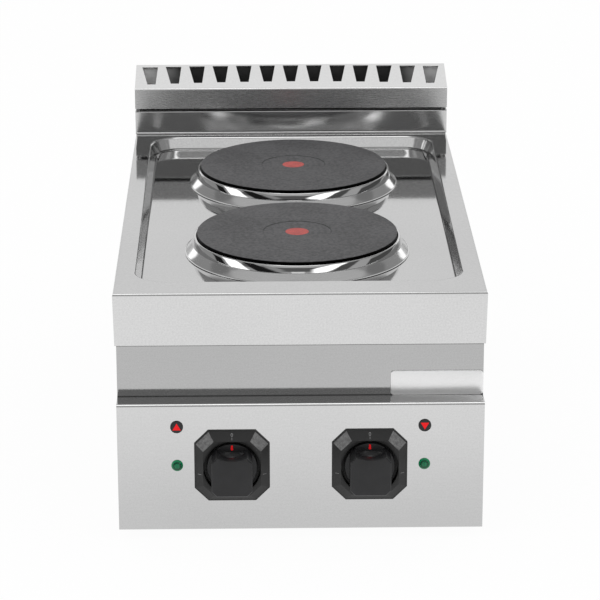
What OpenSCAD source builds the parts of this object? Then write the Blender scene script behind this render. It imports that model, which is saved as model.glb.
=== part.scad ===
// Two-plate electric cooker for a worktop: a stainless body with a pressed top,
// two cast-iron plates one behind the other, a rear vent riser and two rotary switches.
// Millimetres. X runs left to right, Y from the front to the back, Z up.
// Origin: on the surface that it stands on, in the middle of the width and of the whole depth.
// Every Y below counts from the front fascia, and from_front() puts it in its place.

/* [Body] */
// Width of the worktop
body_w = 330; // [300:1:400]
// From the front fascia to the back of the body
body_d = 580.7; // [560:0.1:640]
// Height of the worktop above the table
top_z = 226.8; // [210:0.1:260]
// Height of the underside above the table
floor_gap = 10.1; // [10.1:0.1:14]
// Thickness of the worktop sheet
top_t = 1.2; // [1:0.1:1.6]
// Thickness of every other sheet
sheet_t = 1; // [0.8:0.1:1.2]

/* [Worktop] */
// Depth of the front fascia and the side flanges
fascia_h = 48.5; // [30:0.5:60]
// How far each flange leans in at its lower edge
flange_lean = 1; // [0:0.1:1.5]
// Outer radius of the worktop's folds
fold_r = 2.6; // [1.6:0.1:3]
// Flat rim at the two sides of the well
rim_side = 16; // [13:0.5:18]
// Flat rim in front of the well
rim_front = 31.7; // [25:0.1:35]
// Depth of the pressed well
well_depth = 12; // [10:0.5:13]
// Corner radius of the well at its lip
well_r = 32; // [28:1:36]

/* [Control panel] */
// Height of the control panel
panel_h = 120; // [115:1:125]
// How far the control panel stands in front of the fascia
panel_out = 19.5; // [16:0.5:24]
// How far the recess lies behind the fascia
recess_in = 1.5; // [1.5:0.1:3]
// Distance of each knob from the middle
knob_x = 61; // [56:1:66]
// Depth of the knobs and lamps below the panel's top edge
knob_drop = 57.6; // [50:0.1:64]
// Distance of each lamp and marker from the middle
lamp_x = 109.7; // [105:0.1:125]
// Depth of the markers below the panel's top edge
marker_drop = 21; // [16:0.5:26]

/* [Riser] */
// Depth of the riser, front to back
riser_d = 51.1; // [45:0.1:55]
// Height of the riser's lower wall
riser_low_h = 24.9; // [20:0.1:28]
// Open gap between the lower wall and the cap
riser_gap = 3.1; // [2:0.1:5]
// Height of the cap's front face
cap_face_h = 21.6; // [16:0.1:26]
// Height of the cap's back edge above the worktop
riser_h = 62.8; // [58:0.1:68]
// Number of vent slots
slot_count = 13; // [3:2:13]
// Distance between the middles of two slots
slot_pitch = 25; // [22:0.5:25]

/* [Hot plates] */
// Radius of the iron
iron_r = 93.4; // [90:0.1:94]
// Height of the iron's top above the worktop
iron_top = 6.6; // [5:0.1:9]
// Y of the middle of the front plate
front_plate_y = 160.7; // [158:0.1:165]
// Distance of the rear plate's middle from the back of the body
rear_plate_in = 192.4; // [188:0.1:196]

/* [Controls] */
// Width and height of the bezel
bezel_w = 67; // [60:1:70]
// Height of the bezel
bezel_out = 9; // [7:0.5:10]
// Radius of the bezel's round opening
bezel_r = 25.3; // [24:0.1:26]
// Radius of the knob's round skirt
skirt_r = 22.3; // [20:0.1:23]
// Width of the knob's grip
grip_w = 36; // [30:0.5:38]
// Distance of the knob's face from the panel
knob_out = 30; // [26:0.5:34]

/* [Hidden] */

$fn = 96;
eps = 0.01;
fit = 0.06;          // running clearance between a shaft and its hole
shell_gap = 0.3;     // gap between one sheet and the next

// Heights that follow from the body
panel_top = top_z - fascia_h - 48.2;
panel_bottom = panel_top - panel_h;
knob_z = panel_top - knob_drop;
marker_z = panel_top - marker_drop;
well_z = top_z - well_depth;
under_z = well_z - top_t;
body_half = body_w / 2 - flange_lean - top_t - shell_gap;
side_inner = body_half - sheet_t;
panel_y = -panel_out;
panel_back_y = panel_y + sheet_t;
recess_y = recess_in;
recess_back_y = recess_in + sheet_t;
rear_y = body_d - top_t - shell_gap;
riser_y = body_d - riser_d;
rear_plate_y = body_d - rear_plate_in;

// Well: the wall's lean and its two bend radii give the foot's inset
wall_lean = 25;
lip_r = 2.5;
foot_r = 3;
wall_len = (well_depth - (lip_r + foot_r) * (1 - sin(wall_lean))) / cos(wall_lean);
wall_inset = (lip_r + foot_r) * cos(wall_lean) + wall_len * sin(wall_lean);
well_w = body_w - 2 * rim_side;
well_back_y = riser_y - 11.6;
well_d = well_back_y - rim_front;
well_mid_y = rim_front + well_d / 2;

// Riser cap
cap_half = body_w / 2 - 0.2;
cap_y = riser_y - 1.3;
cap_z = top_z + riser_low_h + riser_gap;
cap_front_z = cap_z + cap_face_h;
cap_back_z = top_z + riser_h;
riser_neck_h = 12;
slot_len = 35;
slot_back_w = 16.7;
slot_front_w = 8.7;
slot_back_y = body_d - 2.6;
slot_back_bow = 3.2;
slot_front_bow = 6.1;
slot_toe_in = 2.8;

// Hot plate, from its top down
hole_r = iron_r - 8.9;
ring_t = 0.8;
rim_r = iron_r + 2.2;
rim_z = top_z + iron_top - 2.8;
crease_r = iron_r + 4.4;
crease_z = rim_z - 7;
ring_foot_r = iron_r + 10.6;
channel_r = hole_r - 8.5;
gasket_t = 1.5;
iron_z = top_z + iron_top;
iron_base_z = well_z + gasket_t;
dish_r = 31.5;
dish_depth = 0.5;
pan_depth = 12;
pan_z = iron_base_z - pan_depth;
bar_w = 26;
bar_t = 3;
bar_half = 96;
bar_z = pan_z - 8;
stud_r = 3;
terminal_back = 42;

// Leads
wire_r = 1.6;
wire_x = side_inner - 22;
wire_z = panel_bottom + 20;

// Knob and switch
skirt_face_y = panel_y - 6.4;
knob_face_y = panel_y - knob_out;
bezel_floor = 1;
skirt_back_y = panel_y - bezel_floor - 0.7;
bezel_cut = 12.4;
grip_cut = 4.6;
grip_rise = 0.35;
spindle_r = 3;
bush_r = 6;
housing_w = 44;
housing_front_y = panel_back_y;
housing_back_y = housing_front_y + 42;
drum_r = 12;
drum_front_y = housing_front_y + 8;
drum_back_y = housing_back_y - 6;
lamp_hole_r = 4;

// Feet
pad_r = 15;
pad_h = 6;
foot_x = body_w / 2 - 40;
foot_front_y = 45;
foot_back_y = 540;
foot_stud_r = 4;
foot_stud_top = 36;
foot_thread_h = 12;

// Rear connections
gland_x = 55 - body_w / 2;
gland_z = 42;
gland_bore_r = 4.6;
gland_out = 22;
mains_x = gland_x + 30;
bond_x = -gland_x;
bond_r = 3;
bond_out = 18;

// Middle of the whole depth, from the knobs' faces to the gland's mouth
mid_y = (knob_face_y + rear_y + gland_out) / 2;

steel = [0.80, 0.80, 0.81];
polished = [0.86, 0.86, 0.87];
dark_plastic = [0.10, 0.10, 0.11];
iron = [0.22, 0.22, 0.23];
ceramic = [0.90, 0.87, 0.80];

// ---------- Helpers ----------

// Move a sub-part from the fascia's frame to the part's own
module from_front() {
    translate([0, -mid_y, 0]) children();
}

// Extrude an X-Z outline along Y
module along_y(y0, y1) {
    translate([0, y1, 0]) rotate([90, 0, 0]) linear_extrude(y1 - y0) children();
}

// Extrude a Y-Z outline along X
module along_x(x0, x1) {
    translate([x0, 0, 0]) rotate([90, 0, 90]) linear_extrude(x1 - x0) children();
}

// Block between two corners
module block(low, high) {
    translate(low) cube(high - low);
}

// Cylinder along Y between two depths, about (x, z)
module rod_y(x, z, y0, y1, r) {
    translate([x, y1, z]) rotate([90, 0, 0]) cylinder(h = y1 - y0, r = r);
}

// Upright cylinder between two heights
module rod_z(x, y, z0, z1, r) {
    translate([x, y, z0]) cylinder(h = z1 - z0, r = r);
}

// Rectangle with four round corners, centred
module round_rect(w, d, r) {
    square([w - 2 * r, d], center = true);
    square([w, d - 2 * r], center = true);
    for (x = [-1, 1], y = [-1, 1])
        translate([x * (w / 2 - r), y * (d / 2 - r)]) circle(r);
}

// Square with four cut corners, centred
module cut_square(w, cut) {
    h = w / 2;
    c = h - cut;
    polygon([[-c, -h], [c, -h], [h, -c], [h, c], [c, h], [-c, h], [-h, c], [-h, -c]]);
}

// Points along an arc
function arc(cx, cy, r, a0, a1, steps = 8) =
    [for (i = [0 : steps]) let (a = a0 + (a1 - a0) * i / steps) [cx + r * cos(a), cy + r * sin(a)]];

// Points in the opposite order
function backwards(list) = [for (i = [len(list) - 1 : -1 : 0]) list[i]];

// Sweep an outline round a rounded rectangle: outline X is the way out, outline Y is up
module sweep_round(w, d, r) {
    x = w / 2 - r;
    y = d / 2 - r;
    for (side = [0, 180]) rotate([0, 0, side]) {
        translate([w / 2, 0, 0]) along_y(-y, y) children();
        translate([0, d / 2, 0]) rotate([0, 0, 90]) along_y(-x, x) children();
        translate([x, y, 0]) rotate_extrude(angle = 90) translate([r, 0]) children();
        translate([-x, y, 0]) rotate([0, 0, 90]) rotate_extrude(angle = 90)
            translate([r, 0]) children();
    }
}

// ---------- Worktop ----------

// Cross-section of the worktop's outside, or of its inside when inset
module top_cross(inset, drop) {
    r = fold_r - inset;
    half = body_w / 2 - inset;
    low = body_w / 2 - inset - flange_lean * drop / fascia_h;
    tilt = atan(flange_lean / fascia_h);
    z1 = top_z - inset;
    cx = half - r * (1 + sin(tilt)) / cos(tilt);
    side = [cx + r * cos(tilt), z1 - r - r * sin(tilt)];
    polygon([[-low, top_z - drop], [low, top_z - drop], side, [cx, z1], [-cx, z1],
        [-side[0], side[1]]]);
    for (s = [-1, 1]) translate([s * cx, z1 - r]) circle(r);
}

// Side view of the worktop's outside, or of its inside when inset
module top_side(inset, drop) {
    r = fold_r - inset;
    y0 = inset;
    z1 = top_z - inset;
    polygon([[y0, top_z - drop], [body_d - inset, top_z - drop], [body_d - inset, z1],
        [y0 + r, z1], [y0, z1 - r]]);
    translate([y0 + r, z1 - r]) circle(r);
}

module top_solid(inset, drop) {
    intersection() {
        along_y(-1, body_d + 1) top_cross(inset, drop);
        along_x(-body_w, body_w) top_side(inset, drop);
    }
}

// Section of the well's wall: a round lip, a leaning wall and a round foot
module well_wall() {
    foot_u = -wall_inset;
    foot_z = -well_depth + foot_r;
    upper = concat([[1, 0]], arc(0, -lip_r, lip_r, 90, 180 - wall_lean),
        arc(foot_u, foot_z, foot_r, -wall_lean, -90), [[foot_u - 1, -well_depth]]);
    lower = concat([[1, -top_t]], arc(0, -lip_r, lip_r - top_t, 90, 180 - wall_lean),
        arc(foot_u, foot_z, foot_r + top_t, -wall_lean, -90),
        [[foot_u - 1, -well_depth - top_t]]);
    polygon(concat(upper, backwards(lower)));
}

module worktop() {
    vent_w = 280;
    vent_d = 26;
    color(polished) difference() {
        union() {
            difference() {
                top_solid(0, fascia_h);
                top_solid(top_t, fascia_h + 1);
                translate([0, well_mid_y, top_z - 5]) linear_extrude(10)
                    round_rect(well_w, well_d, well_r);
            }
            translate([0, well_mid_y, top_z]) sweep_round(well_w, well_d, well_r) well_wall();
            translate([0, well_mid_y, well_z - top_t]) linear_extrude(top_t)
                round_rect(well_w - 2 * wall_inset, well_d - 2 * wall_inset,
                    well_r - wall_inset);
        }
        for (y = [front_plate_y, rear_plate_y]) rod_z(0, y, under_z - 1, well_z + 1, hole_r);
        translate([0, (riser_y + body_d) / 2, top_z - 5]) linear_extrude(10)
            round_rect(vent_w, vent_d, 5);
    }
}

// ---------- Body ----------

// Flat side sheet, flanged inwards along its bottom and front edges
module side_panel(s) {
    z0 = panel_bottom + sheet_t + shell_gap;
    z1 = top_z - top_t - 6;
    flange = 12;
    color(steel) scale([s, 1, 1]) union() {
        block([side_inner, recess_back_y + shell_gap, z0], [body_half, rear_y, z1]);
        block([side_inner - flange, recess_back_y + shell_gap, z0],
            [body_half, rear_y, z0 + sheet_t]);
    }
}

// Bottom sheet with slots for cool air and the four threaded foot holes
module base_tray() {
    z0 = panel_bottom;
    air_w = 40;
    color(steel) difference() {
        block([-body_half, recess_back_y + shell_gap, z0], [body_half, rear_y, z0 + sheet_t]);
        for (x = [-1, 1], y = [foot_front_y, foot_back_y])
            rod_z(x * foot_x, y, z0 - 1, z0 + 2, foot_stud_r + 1.2);
        for (x = [-1, 0, 1], i = [-4 : 4])
            translate([x * 62, 290 + i * 22, z0 - 1]) linear_extrude(3)
                round_rect(air_w, 6, 2.9);
    }
}

// Back sheet with louvre slots, the gland hole and the bonding hole
module rear_panel() {
    z0 = panel_bottom + sheet_t + shell_gap;
    z1 = top_z - fascia_h + 20;
    edge = side_inner - shell_gap;
    lip = 12;
    color(steel) difference() {
        union() {
            block([-edge, rear_y - sheet_t, z0 + 1.5], [edge, rear_y, z1]);
            block([-edge, rear_y - lip, z1 - sheet_t], [edge, rear_y, z1]);
        }
        rod_y(gland_x, gland_z, rear_y - 5, rear_y + 5, 8.05);
        rod_y(bond_x, gland_z, rear_y - 5, rear_y + 5, bond_r + fit);
        for (x = [-5 : 5], z = panel_bottom * [1, 1, 1] + [79.9, 109.9, 139.9])
            translate([x * 24, rear_y + 5, z]) rotate([90, 0, 0]) linear_extrude(10)
                round_rect(6, 20, 2.9);
    }
}

// Upper front sheet, behind the fascia
module recess_panel() {
    lap = 9;
    color(steel) block([-body_half, recess_y, panel_top - lap],
        [body_half, recess_back_y, top_z - fascia_h + lap]);
}

// Outline of the control panel's side view, open at the back
module panel_side(inset, back) {
    r = fold_r - inset;
    y0 = panel_y + inset;
    z0 = panel_bottom + inset;
    z1 = panel_top - inset;
    polygon([[y0 + r, z0], [back, z0], [back, z1], [y0 + r, z1], [y0, z1 - r], [y0, z0 + r]]);
    for (z = [z0 + r, z1 - r]) translate([y0 + r, z]) circle(r);
}

// Folded front: top ledge, face, underside and two ends
module control_panel() {
    back = recess_y - 0.05;
    color(steel) difference() {
        along_x(-body_half, body_half) panel_side(0, back);
        along_x(-side_inner, side_inner) panel_side(sheet_t, back + 1);
        for (s = [-1, 1]) {
            rod_y(s * knob_x, knob_z, panel_y - 1, 0, bush_r + 0.5);
            rod_y(s * lamp_x, knob_z, panel_y - 1, 0, lamp_hole_r);
            rod_y(s * lamp_x, marker_z, panel_y - 1, 0, lamp_hole_r);
        }
    }
}

// Blank plate in the recess, standing on the ledge
module badge_plate() {
    w = 82.2;
    h = 22.8;
    thick = 1;
    right = body_half - 0.1;
    color(polished) translate([right - w / 2, recess_y, panel_top + 0.1 + h / 2])
        rotate([90, 0, 0]) linear_extrude(thick) round_rect(w, h, 3);
}

// Sheet that keeps the plates' heat off the switches
module heat_shield() {
    y = 52;
    z1 = under_z - 16;
    reach = side_inner - 13;
    color(steel) difference() {
        union() {
            block([-reach, y, panel_bottom + sheet_t], [reach, y + sheet_t, z1]);
            block([-reach, recess_back_y + 4, z1 - sheet_t], [reach, y + sheet_t, z1]);
            block([-reach, y, panel_bottom + sheet_t],
                [reach, y + 14, panel_bottom + 2 * sheet_t]);
        }
        for (s = [-1, 1]) rod_y(s * wire_x, wire_z, y - 1, y + 2, wire_r + 1.5);
    }
}

// ---------- Riser ----------

// Lower wall of the riser, with a hem at its foot and a neck that carries the cap
module riser_lower() {
    half = body_w / 2 - 0.2;
    z1 = top_z + riser_low_h;
    neck = 5;
    hem_r = 1;
    color(steel) difference() {
        union() {
            block([-half, riser_y, top_z], [half, body_d - 0.2, z1]);
            block([-half + neck, riser_y + neck, z1 - 1],
                [half - neck, body_d - neck, z1 + riser_neck_h]);
            translate([-half, riser_y, top_z + hem_r]) rotate([0, 90, 0])
                cylinder(h = 2 * half, r = hem_r);
        }
        block([-half + sheet_t, riser_y + sheet_t, top_z - 1],
            [half - sheet_t, body_d - 0.2 - sheet_t, z1 - sheet_t]);
        block([-half + neck + sheet_t, riser_y + neck + sheet_t, z1 - 2 * sheet_t],
            [half - neck - sheet_t, body_d - neck - sheet_t, z1 + riser_neck_h + 1]);
    }
}

// Side view of the cap's outside, or of its inside when inset
module cap_side(inset) {
    r = 1.6 - inset;
    lean = atan((cap_back_z - cap_front_z) / (body_d - cap_y));
    y0 = cap_y + inset;
    y1 = body_d - inset;
    drop = inset / cos(lean);
    zf = cap_front_z - drop + inset * tan(lean);
    zb = cap_back_z - drop - inset * tan(lean);
    centre = [y0 + r, zf + r * tan(lean) - r / cos(lean)];
    touch = centre + r * [-sin(lean), cos(lean)];
    z0 = cap_z - (inset > 0 ? 1 : 0);
    polygon([[y0, z0], [y1, z0], [y1, zb], touch, [y0, centre[1]]]);
    translate(centre) circle(r);
}

// Outline of the slot at x: the outer slots bow forwards and toe in a little
module slot_outline(x) {
    u = x / (body_w / 2);
    y1 = slot_back_y - slot_back_bow * u * u;
    y0 = slot_back_y - slot_len - slot_front_bow * u * u;
    toe_x = x - slot_toe_in * u;
    polygon([[x - slot_back_w / 2, y1], [x + slot_back_w / 2, y1],
        [toe_x + slot_front_w / 2, y0], [toe_x - slot_front_w / 2, y0]]);
}

// Cap of the riser: a face, a sloping top with a row of tapering slots, two ends
module riser_cap() {
    rest_z = top_z + riser_low_h + riser_neck_h;
    rest_w = 8;
    color(steel) difference() {
        union() {
            difference() {
                along_x(-cap_half, cap_half) cap_side(0);
                along_x(-cap_half + sheet_t, cap_half - sheet_t) cap_side(sheet_t);
            }
            for (x = [-4.5, 4.5] * slot_pitch) {
                block([x - rest_w / 2, cap_y + sheet_t / 2, rest_z],
                    [x + rest_w / 2, riser_y + 9, rest_z + 1.5]);
                block([x - rest_w / 2, body_d - 9, rest_z],
                    [x + rest_w / 2, body_d - sheet_t / 2, rest_z + 1.5]);
            }
        }
        for (i = [0 : slot_count - 1])
            translate([0, 0, cap_front_z - 8]) linear_extrude(riser_h)
                slot_outline((i - (slot_count - 1) / 2) * slot_pitch);
    }
}

// ---------- Hot plates ----------

// Cast-iron plate: shallow dish in the middle, a shoulder, a coil channel and a boss
module plate_casting(y) {
    edge = 1.2;
    face_t = 7;
    channel_in = 14;
    outline = [[0, iron_z - dish_depth], [dish_r, iron_z - dish_depth], [dish_r + 0.5, iron_z],
        [iron_r - edge, iron_z], [iron_r, iron_z - edge], [iron_r, rim_z - 4],
        [iron_r - 2, rim_z - 6], [iron_r - 2, iron_base_z], [hole_r - 1, iron_base_z],
        [hole_r - 1, iron_base_z - 1.5], [channel_r, iron_base_z - 1.5],
        [channel_r, iron_z - face_t], [channel_in, iron_z - face_t],
        [channel_in, iron_base_z - 1.5], [0, iron_base_z - 1.5]];
    color(iron) translate([0, y, 0]) difference() {
        rotate_extrude() polygon(outline);
        translate([0, 0, iron_base_z - 3]) cylinder(h = 11, r = stud_r);
    }
}

// Rolled steel ring: a rim round the iron, a flared band, a crease and a skirt to the well
module overflow_ring(y) {
    inner = iron_r + 0.2;
    outline = [[inner, rim_z - 3], [inner, rim_z - 0.8], [inner + 1.1, rim_z],
        [rim_r, rim_z - 0.2], [rim_r + 0.5, rim_z - 0.8], [crease_r, crease_z],
        [ring_foot_r, well_z + 0.4], [ring_foot_r, well_z], [ring_foot_r - 1, well_z],
        [crease_r - ring_t, crease_z - 0.6], [rim_r - 0.6, rim_z - 1.4],
        [inner + ring_t, rim_z - 1.4], [inner + ring_t, rim_z - 3]];
    color(polished) translate([0, y, 0]) rotate_extrude() polygon(outline);
}

// Flat seal between the iron's shoulder and the well
module plate_gasket(y) {
    color("dimgray") difference() {
        rod_z(0, y, well_z, iron_base_z, iron_r - 2.4);
        rod_z(0, y, well_z - 1, iron_base_z + 1, hole_r + 0.5);
    }
}

coil_r = 1.4;
coil_first = 22;
coil_pitch = 7;
coil_rings = [for (r = [coil_first : coil_pitch : channel_r - 4]) r];

// Pressed magnesia in the iron's channel, with room for the coils
module ceramic_filling(y) {
    z1 = iron_z - 7;
    z0 = iron_base_z - 1.5;
    color(ceramic) translate([0, y, 0]) difference() {
        translate([0, 0, z0]) cylinder(h = z1 - z0, r = channel_r - 0.1);
        translate([0, 0, z0 - 1]) cylinder(h = z1 - z0 + 2, r = 14.1);
        for (r = coil_rings) rotate_extrude() translate([r, (z0 + z1) / 2]) circle(coil_r + 0.05);
    }
}

// Resistance coils, drawn as rings
module heating_coil(y) {
    z = (iron_z - 7 + iron_base_z - 1.5) / 2;
    color("sienna") translate([0, y, 0]) for (r = coil_rings)
        rotate_extrude() translate([r, z]) circle(coil_r);
}

// Pressed cover under the iron
module cover_pan(y) {
    z1 = iron_base_z - 1.6;
    rad = hole_r - 2.5;
    color(steel) translate([0, y, 0]) rotate_extrude()
        polygon([[stud_r + 0.5, pan_z], [rad - 2, pan_z], [rad, pan_z + 2], [rad, z1],
            [rad - 0.6, z1], [rad - 0.6, pan_z + 2.3], [rad - 2.3, pan_z + 0.6],
            [stud_r + 0.5, pan_z + 0.6]]);
}

// Bar that pulls the plate down: its bent ends bear on the underside of the well
module clamp_bar(y) {
    color(steel) translate([0, y, 0]) difference() {
        union() {
            block([-bar_half, -bar_w / 2, bar_z], [bar_half, bar_w / 2, bar_z + bar_t]);
            for (s = [-1, 1]) translate([s * (bar_half - bar_t / 2), 0, (bar_z + under_z) / 2])
                cube([bar_t, bar_w, under_z - bar_z], center = true);
        }
        translate([0, 0, bar_z - 1]) cylinder(h = bar_t + 2, r = stud_r + 0.3);
    }
}

// Threaded studs in the middle of the irons
module clamp_studs() {
    color("silver") for (y = [front_plate_y, rear_plate_y])
        rod_z(0, y, bar_z - 9, iron_base_z + 7.9, stud_r);
}

// Nuts on the studs
module clamp_nuts() {
    color("silver") for (y = [front_plate_y, rear_plate_y]) difference() {
        translate([0, y, bar_z - 5]) cylinder(h = 5, r = 5.8, $fn = 6);
        rod_z(0, y, bar_z - 6, bar_z + 1, stud_r);
    }
}

// Ceramic block with four screw terminals, under the cover
module terminal_block(y) {
    w = 36;
    d = 18;
    h = 12;
    color(ceramic) difference() {
        translate([-w / 2, y + terminal_back - d / 2, pan_z - h]) cube([w, d, h]);
        for (i = [-1.5 : 1.5])
            rod_z(i * 8, y + terminal_back, pan_z - h - 1, pan_z - 3, 2.2);
    }
}

// ---------- Controls ----------

// Octagonal bezel whose eight facets rise to a round opening
module bezel(s) {
    low = 1.4;
    inner_w = 2 * (bezel_r + 0.25);
    border = 1.2;
    color(dark_plastic) translate([s * knob_x, panel_y, knob_z]) rotate([90, 0, 0]) difference() {
        union() {
            linear_extrude(low) cut_square(bezel_w, bezel_cut);
            hull() {
                translate([0, 0, low - 0.2]) linear_extrude(0.2)
                    cut_square(bezel_w - 2 * border, bezel_cut - border * 0.6);
                translate([0, 0, bezel_out - 0.2]) linear_extrude(0.2)
                    cut_square(inner_w, 9.6);
            }
        }
        translate([0, 0, bezel_floor]) cylinder(h = bezel_out, r = bezel_r);
        translate([0, 0, -1]) cylinder(h = 4, r = bush_r + 1);
    }
}

// Round skirt and eight-sided grip, with a groove and a finger scoop in the grip's top
module knob(s) {
    grip_back = skirt_face_y - panel_y;
    face = -knob_out;
    groove_r = 35.3;
    groove_dip = 2.6;
    scoop_half = 12.4;
    scoop_r = 7;
    scoop_ball = (scoop_half * scoop_half + scoop_r * scoop_r) / (2 * scoop_r);
    scoop_turn = asin(scoop_half / scoop_ball);
    bevel = 0.8;
    depth = -(face - grip_back);
    color(dark_plastic) translate([s * knob_x, panel_y, knob_z]) difference() {
        union() {
            rod_y(0, 0, grip_back + 0.6, skirt_back_y - panel_y, skirt_r);
            rod_y(0, 0, grip_back, skirt_back_y - panel_y, skirt_r - 0.6);
            translate([0, grip_back + 1, grip_rise * -1]) rotate([90, 0, 0])
                linear_extrude(depth + 1 - bevel) cut_square(grip_w, grip_cut);
            translate([0, face + bevel, grip_rise * -1]) rotate([90, 0, 0]) hull() {
                linear_extrude(0.01) cut_square(grip_w, grip_cut);
                translate([0, 0, bevel - 0.01]) linear_extrude(0.01)
                    cut_square(grip_w - 2 * bevel, grip_cut - bevel * 0.6);
            }
        }
        rod_y(0, grip_w / 2 - grip_rise + groove_r - groove_dip, face - 1, grip_back, groove_r);
        translate([0, face + 16.4, grip_w / 2 - grip_rise - 1]) rotate([0, 90, 0])
            rotate_extrude() polygon(concat([[0, -scoop_half]],
                arc(scoop_r - scoop_ball, 0, scoop_ball, 1 - scoop_turn, scoop_turn - 1, 14),
                [[0, scoop_half]]));
        rod_y(0, 0, face + 8, 1, spindle_r);
        difference() {
            rod_y(0, 0, grip_back + 2, 1, skirt_r - 2.5);
            rod_y(0, 0, grip_back, 2, spindle_r + 3.5);
        }
    }
}

// Red line on the skirt, slightly proud
module pointer(s) {
    top = skirt_r - 1;
    bottom = grip_w / 2 - grip_rise - 1.2;
    r = 1.1;
    color("red") translate([s * knob_x, skirt_face_y, knob_z]) rotate([90, 0, 0])
        linear_extrude(0.25)
            polygon(concat([[0.75, top], [-0.75, top]], arc(0, bottom + r, r, 180, 360)));
}

// Switch shaft, gripped by the knob and the drum
module spindle(s) {
    color("silver") rod_y(s * knob_x, knob_z, knob_face_y + 8.5, drum_back_y, spindle_r);
}

// Moulded case with a cavity for the drum and a bearing at each end of the shaft
module switch_housing(s) {
    cavity_r = drum_r + 0.6;
    color([0.35, 0.24, 0.16]) translate([s * knob_x, 0, knob_z]) difference() {
        union() {
            block([-housing_w / 2, housing_front_y, -housing_w / 2],
                [housing_w / 2, housing_back_y, housing_w / 2]);
            rod_y(0, 0, panel_y - bezel_floor + 0.2, housing_front_y + 1, bush_r);
            for (x = [-15, -5, 5, 15])
                block([x - 3, housing_back_y - 1, -16], [x + 3, housing_back_y + 8, -15.2]);
        }
        rod_y(0, 0, drum_front_y - 0.6, drum_back_y + 0.6, cavity_r);
        rod_y(0, 0, panel_y - 3, drum_back_y + 3, spindle_r + fit);
    }
}

// Drum with three cam tracks that work the switch contacts
module cam_drum(s) {
    track = (drum_back_y - drum_front_y) / 5;
    color("ivory") translate([s * knob_x, 0, knob_z]) difference() {
        union() {
            rod_y(0, 0, drum_front_y, drum_back_y, drum_r - 3);
            for (i = [0, 2, 4])
                rod_y(0, 0, drum_front_y + i * track, drum_front_y + (i + 1) * track, drum_r);
        }
        for (i = [0, 2, 4]) rotate([0, 40 + 50 * i, 0]) translate([drum_r, 0, 0])
            rod_y(0, 0, drum_front_y + i * track - 0.1, drum_front_y + (i + 1) * track + 0.1, 4);
        rod_y(0, 0, drum_front_y - 1, drum_back_y + 1, spindle_r);
    }
}

// Green lens: a low dome and a stem through the panel
module lamp_lens(s) {
    r = 5.2;
    dome = 2.2;
    ball = (r * r + dome * dome) / (2 * dome);
    color("green") translate([s * lamp_x, panel_y, knob_z]) rotate([90, 0, 0]) union() {
        rotate_extrude() intersection() {
            translate([0, dome + 0.6 - ball]) circle(ball);
            square([r, dome + 0.6]);
        }
        translate([0, 0, -5]) cylinder(h = 5.5, r = lamp_hole_r - 0.05);
    }
}

// Lamp body behind the panel, with two blade terminals
module lamp_body(s) {
    color("white") translate([s * lamp_x, 0, knob_z]) difference() {
        union() {
            rod_y(0, 0, panel_back_y, panel_back_y + 24, 6);
            for (x = [-1, 1]) block([x * 3 - 1.5, panel_back_y + 23, -0.4],
                [x * 3 + 1.5, panel_back_y + 31, 0.4]);
        }
        rod_y(0, 0, panel_back_y - 1, panel_y + 5.1, lamp_hole_r);
    }
}

// Black plugs that say which knob works which plate
module marker_plugs() {
    r = 5.7;
    color(dark_plastic) for (s = [-1, 1])
        translate([s * lamp_x, panel_y, marker_z]) rotate([90, 0, 0]) union() {
            cylinder(h = 0.8, r = r);
            cylinder(h = 1.2, r = r - 0.4);
            translate([0, 0, -4]) cylinder(h = 4.5, r = lamp_hole_r - 0.05);
        }
}

// Red triangles: up for the rear plate, down for the front plate
module marker_triangles() {
    color("red") for (s = [-1, 1])
        translate([s * lamp_x, panel_y - 1.2, marker_z + s * 0.6]) rotate([90, 90 * s, 0])
            cylinder(h = 0.2, r = 4.3, $fn = 3);
}

// ---------- Inside, rear and feet ----------

// Three-pole block for the mains lead
module mains_terminal_block() {
    z0 = panel_bottom + sheet_t;
    color("ivory") difference() {
        block([mains_x - 20, rear_y - 58, z0], [mains_x + 20, rear_y - 38, z0 + 18]);
        for (i = [-1, 0, 1]) {
            rod_z(mains_x + i * 12, rear_y - 43, z0 + 6, z0 + 19, 2.5);
            rod_y(mains_x + i * 12, z0 + 7, rear_y - 50, rear_y - 37, 2);
        }
    }
}

// Cord gland: a hexagon outside, a threaded barrel and a nut inside
module cable_gland() {
    color(dark_plastic) difference() {
        union() {
            rod_y(gland_x, gland_z, rear_y - 14, rear_y + 6, 8);
            translate([gland_x, rear_y + 7, gland_z]) rotate([90, 0, 0])
                cylinder(h = 7, r = 12.5, $fn = 6);
            rod_y(gland_x, gland_z, rear_y + 6, rear_y + gland_out, 10);
            translate([gland_x, rear_y - sheet_t, gland_z]) rotate([90, 0, 0])
                cylinder(h = 6, r = 12, $fn = 6);
        }
        rod_y(gland_x, gland_z, rear_y - 15, rear_y + gland_out + 1, gland_bore_r);
    }
}

// Equipotential bonding stud with its two nuts
module bonding_stud() {
    color("gold") union() {
        rod_y(bond_x, gland_z, rear_y - 10, rear_y + bond_out, bond_r);
        for (y = [rear_y - sheet_t, rear_y + 5])
            translate([bond_x, y, gland_z]) rotate([90, 0, 0]) cylinder(h = 5, r = 5.8, $fn = 6);
    }
}

// Square-sleeved wire along runs that each follow one axis
module wire(points) {
    r = [wire_r, wire_r, wire_r];
    for (i = [0 : len(points) - 2]) {
        from = points[i];
        to = points[i + 1];
        low = [for (k = [0 : 2]) min(from[k], to[k])];
        high = [for (k = [0 : 2]) max(from[k], to[k])];
        block(low - r, high + r);
    }
}

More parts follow.
